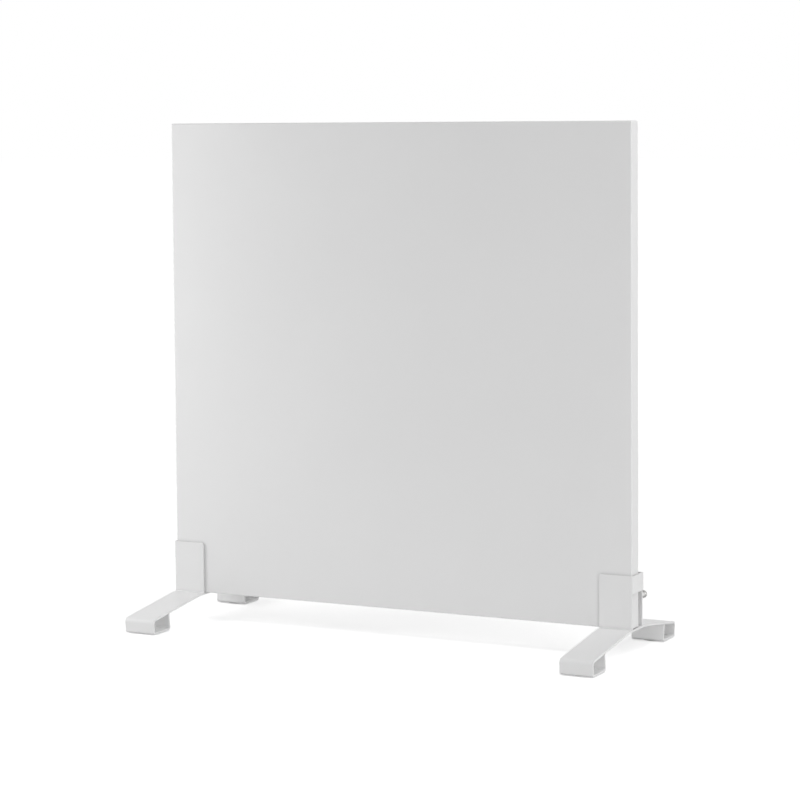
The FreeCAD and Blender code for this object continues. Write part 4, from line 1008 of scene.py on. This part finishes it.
class HEATER_OT_clamps(bpy.types.Operator):
    """Finish the clamp screws and their swivel pads"""

    bl_idname = "heater.clamps"
    bl_label = "Clamps"

    def execute(self, context):
        sizes = settings().sizes
        for side in ("left", "right"):
            dress(side + "_clamp_screw", zinc_plate(), sizes.sheet_edge / 2)
            dress(side + "_clamp_pad", moulded_black(), sizes.moulded_edge)
        return {"FINISHED"}


class HEATER_OT_cover_screws(bpy.types.Operator):
    """Set the screws around the rear cover"""

    bl_idname = "heater.cover_screws"
    bl_label = "Cover screws"

    def execute(self, context):
        sizes = settings().sizes
        set_fasteners(
            "cover_screws", screw_master(), sizes.cover_head_height, sizes.cover_head, zinc_plate()
        )
        return {"FINISHED"}


class HEATER_OT_inserts(bpy.types.Operator):
    """Set the threaded inserts for a wall bracket"""

    bl_idname = "heater.inserts"
    bl_label = "Inserts"

    def execute(self, context):
        sizes = settings().sizes
        set_fasteners(
            "mounting_inserts", insert_master(), sizes.insert_flange_height, sizes.insert_flange,
            zinc_plate(),
        )
        return {"FINISHED"}


class HEATER_OT_terminal_box(bpy.types.Operator):
    """Finish the terminal box, its lid and the cable gland"""

    bl_idname = "heater.terminal_box"
    bl_label = "Terminal box"

    def execute(self, context):
        sizes = settings().sizes
        for name in ("terminal_box", "terminal_lid", "gland_body", "gland_locknut", "gland_cap"):
            dress(name, moulded_black(), sizes.moulded_edge)
        dress("gland_seal", seal_rubber(), sizes.moulded_edge / 2)
        set_fasteners("lid_screws", screw_master(), sizes.lid_head_height, sizes.lid_head, zinc_plate())
        return {"FINISHED"}


class HEATER_OT_wiring(bpy.types.Operator):
    """Finish the wiring inside the terminal box and the panel"""

    bl_idname = "heater.wiring"
    bl_label = "Wiring"

    def execute(self, context):
        looks = settings().finish
        brown = sleeve("brown_sleeve", looks.brown)
        brass = turned_brass()
        paint({
            "live_lead": brown, "element_lead": brown, "neutral_lead": sleeve("blue_sleeve", looks.blue),
            "earth_lead": earth_sleeve(), "earth_lug": brass, "terminal_screws": brass,
            "earth_screw": zinc_plate(), "earth_nut": zinc_plate(), "box_screws": zinc_plate(),
            "terminal_block": moulded_block(), "wire_grommets": seal_rubber(),
            "thermal_cutout": moulded_black(),
        })
        return {"FINISHED"}


class HEATER_OT_element(bpy.types.Operator):
    """Finish the heating element and the insulation behind it"""

    bl_idname = "heater.element"
    bl_label = "Element"

    def execute(self, context):
        mica = pressed_mica()
        copper = rolled_copper()
        paint({
            "front_mica_sheet": mica, "rear_mica_sheet": mica, "heating_film": printed_film(),
            "left_bus_bar": copper, "right_bus_bar": copper, "reflector_foil": crinkled_foil(),
            "insulation_board": pressed_wool(),
        })
        return {"FINISHED"}


class HEATER_OT_stage(bpy.types.Operator):
    """Set up floor, even light, lamps and camera"""

    bl_idname = "heater.stage"
    bl_label = "Stage"

    def execute(self, context):
        stage = settings().stage
        context.scene.view_settings.view_transform = "Standard"
        lay_floor()
        light_evenly(context.scene)
        add_lamp("key_lamp", stage.key, place=(-1.0, -0.55, 0.5), aim=(-0.2, 0.0, 0.25), size=(0.6, 0.9))
        add_lamp("left_lamp", stage.left, place=(-1.5, -0.25, 0.7), aim=(0.0, -0.1, 0.25), size=(1.0, 1.4))
        add_lamp("right_lamp", stage.right, place=(1.7, -0.2, 0.7), aim=(0.0, 0.0, 0.2), size=(1.6, 1.4))
        add_lamp("fill_lamp", stage.fill, place=(1.5, -1.0, 0.3), aim=(0.3, 0.0, 0.05), size=(0.8, 0.5))
        add_lamp("top_lamp", stage.top, place=(1.1, -0.1, 1.9), aim=(0.2, 0.0, 0.1), size=(1.2, 1.2))
        add_camera(context.scene)
        return {"FINISHED"}


STEPS = (
    HEATER_OT_panel,
    HEATER_OT_feet,
    HEATER_OT_clamps,
    HEATER_OT_cover_screws,
    HEATER_OT_inserts,
    HEATER_OT_terminal_box,
    HEATER_OT_wiring,
    HEATER_OT_element,
    HEATER_OT_stage,
)


class HEATER_PT_sidebar(bpy.types.Panel):
    """Settings and steps of the heater"""

    bl_label = "Panel heater"
    bl_space_type = "VIEW_3D"
    bl_region_type = "UI"
    bl_category = "Heater"

    def draw(self, context):
        for group in (settings().finish, settings().sizes, settings().stage):
            box = self.layout.box()
            for name in group.__annotations__:
                box.prop(group, name)
        for step in STEPS:
            self.layout.operator(step.bl_idname)


CLASSES = (HeaterFinish, HeaterSizes, HeaterStage, HeaterSettings, *STEPS, HEATER_PT_sidebar)


def register():
    """Add the classes and the scene's settings."""
    for item in CLASSES:
        bpy.utils.register_class(item)
    bpy.types.Scene.heater = PointerProperty(type=HeaterSettings)


def unregister():
    """Take the settings and the classes away again."""
    del bpy.types.Scene.heater
    for item in reversed(CLASSES):
        bpy.utils.unregister_class(item)


def main():
    """Build the heater's looks in order."""
    register()
    for step in STEPS:
        family, name = step.bl_idname.split(".")
        getattr(getattr(bpy.ops, family), name)()


if __name__ == "__main__":
    main()
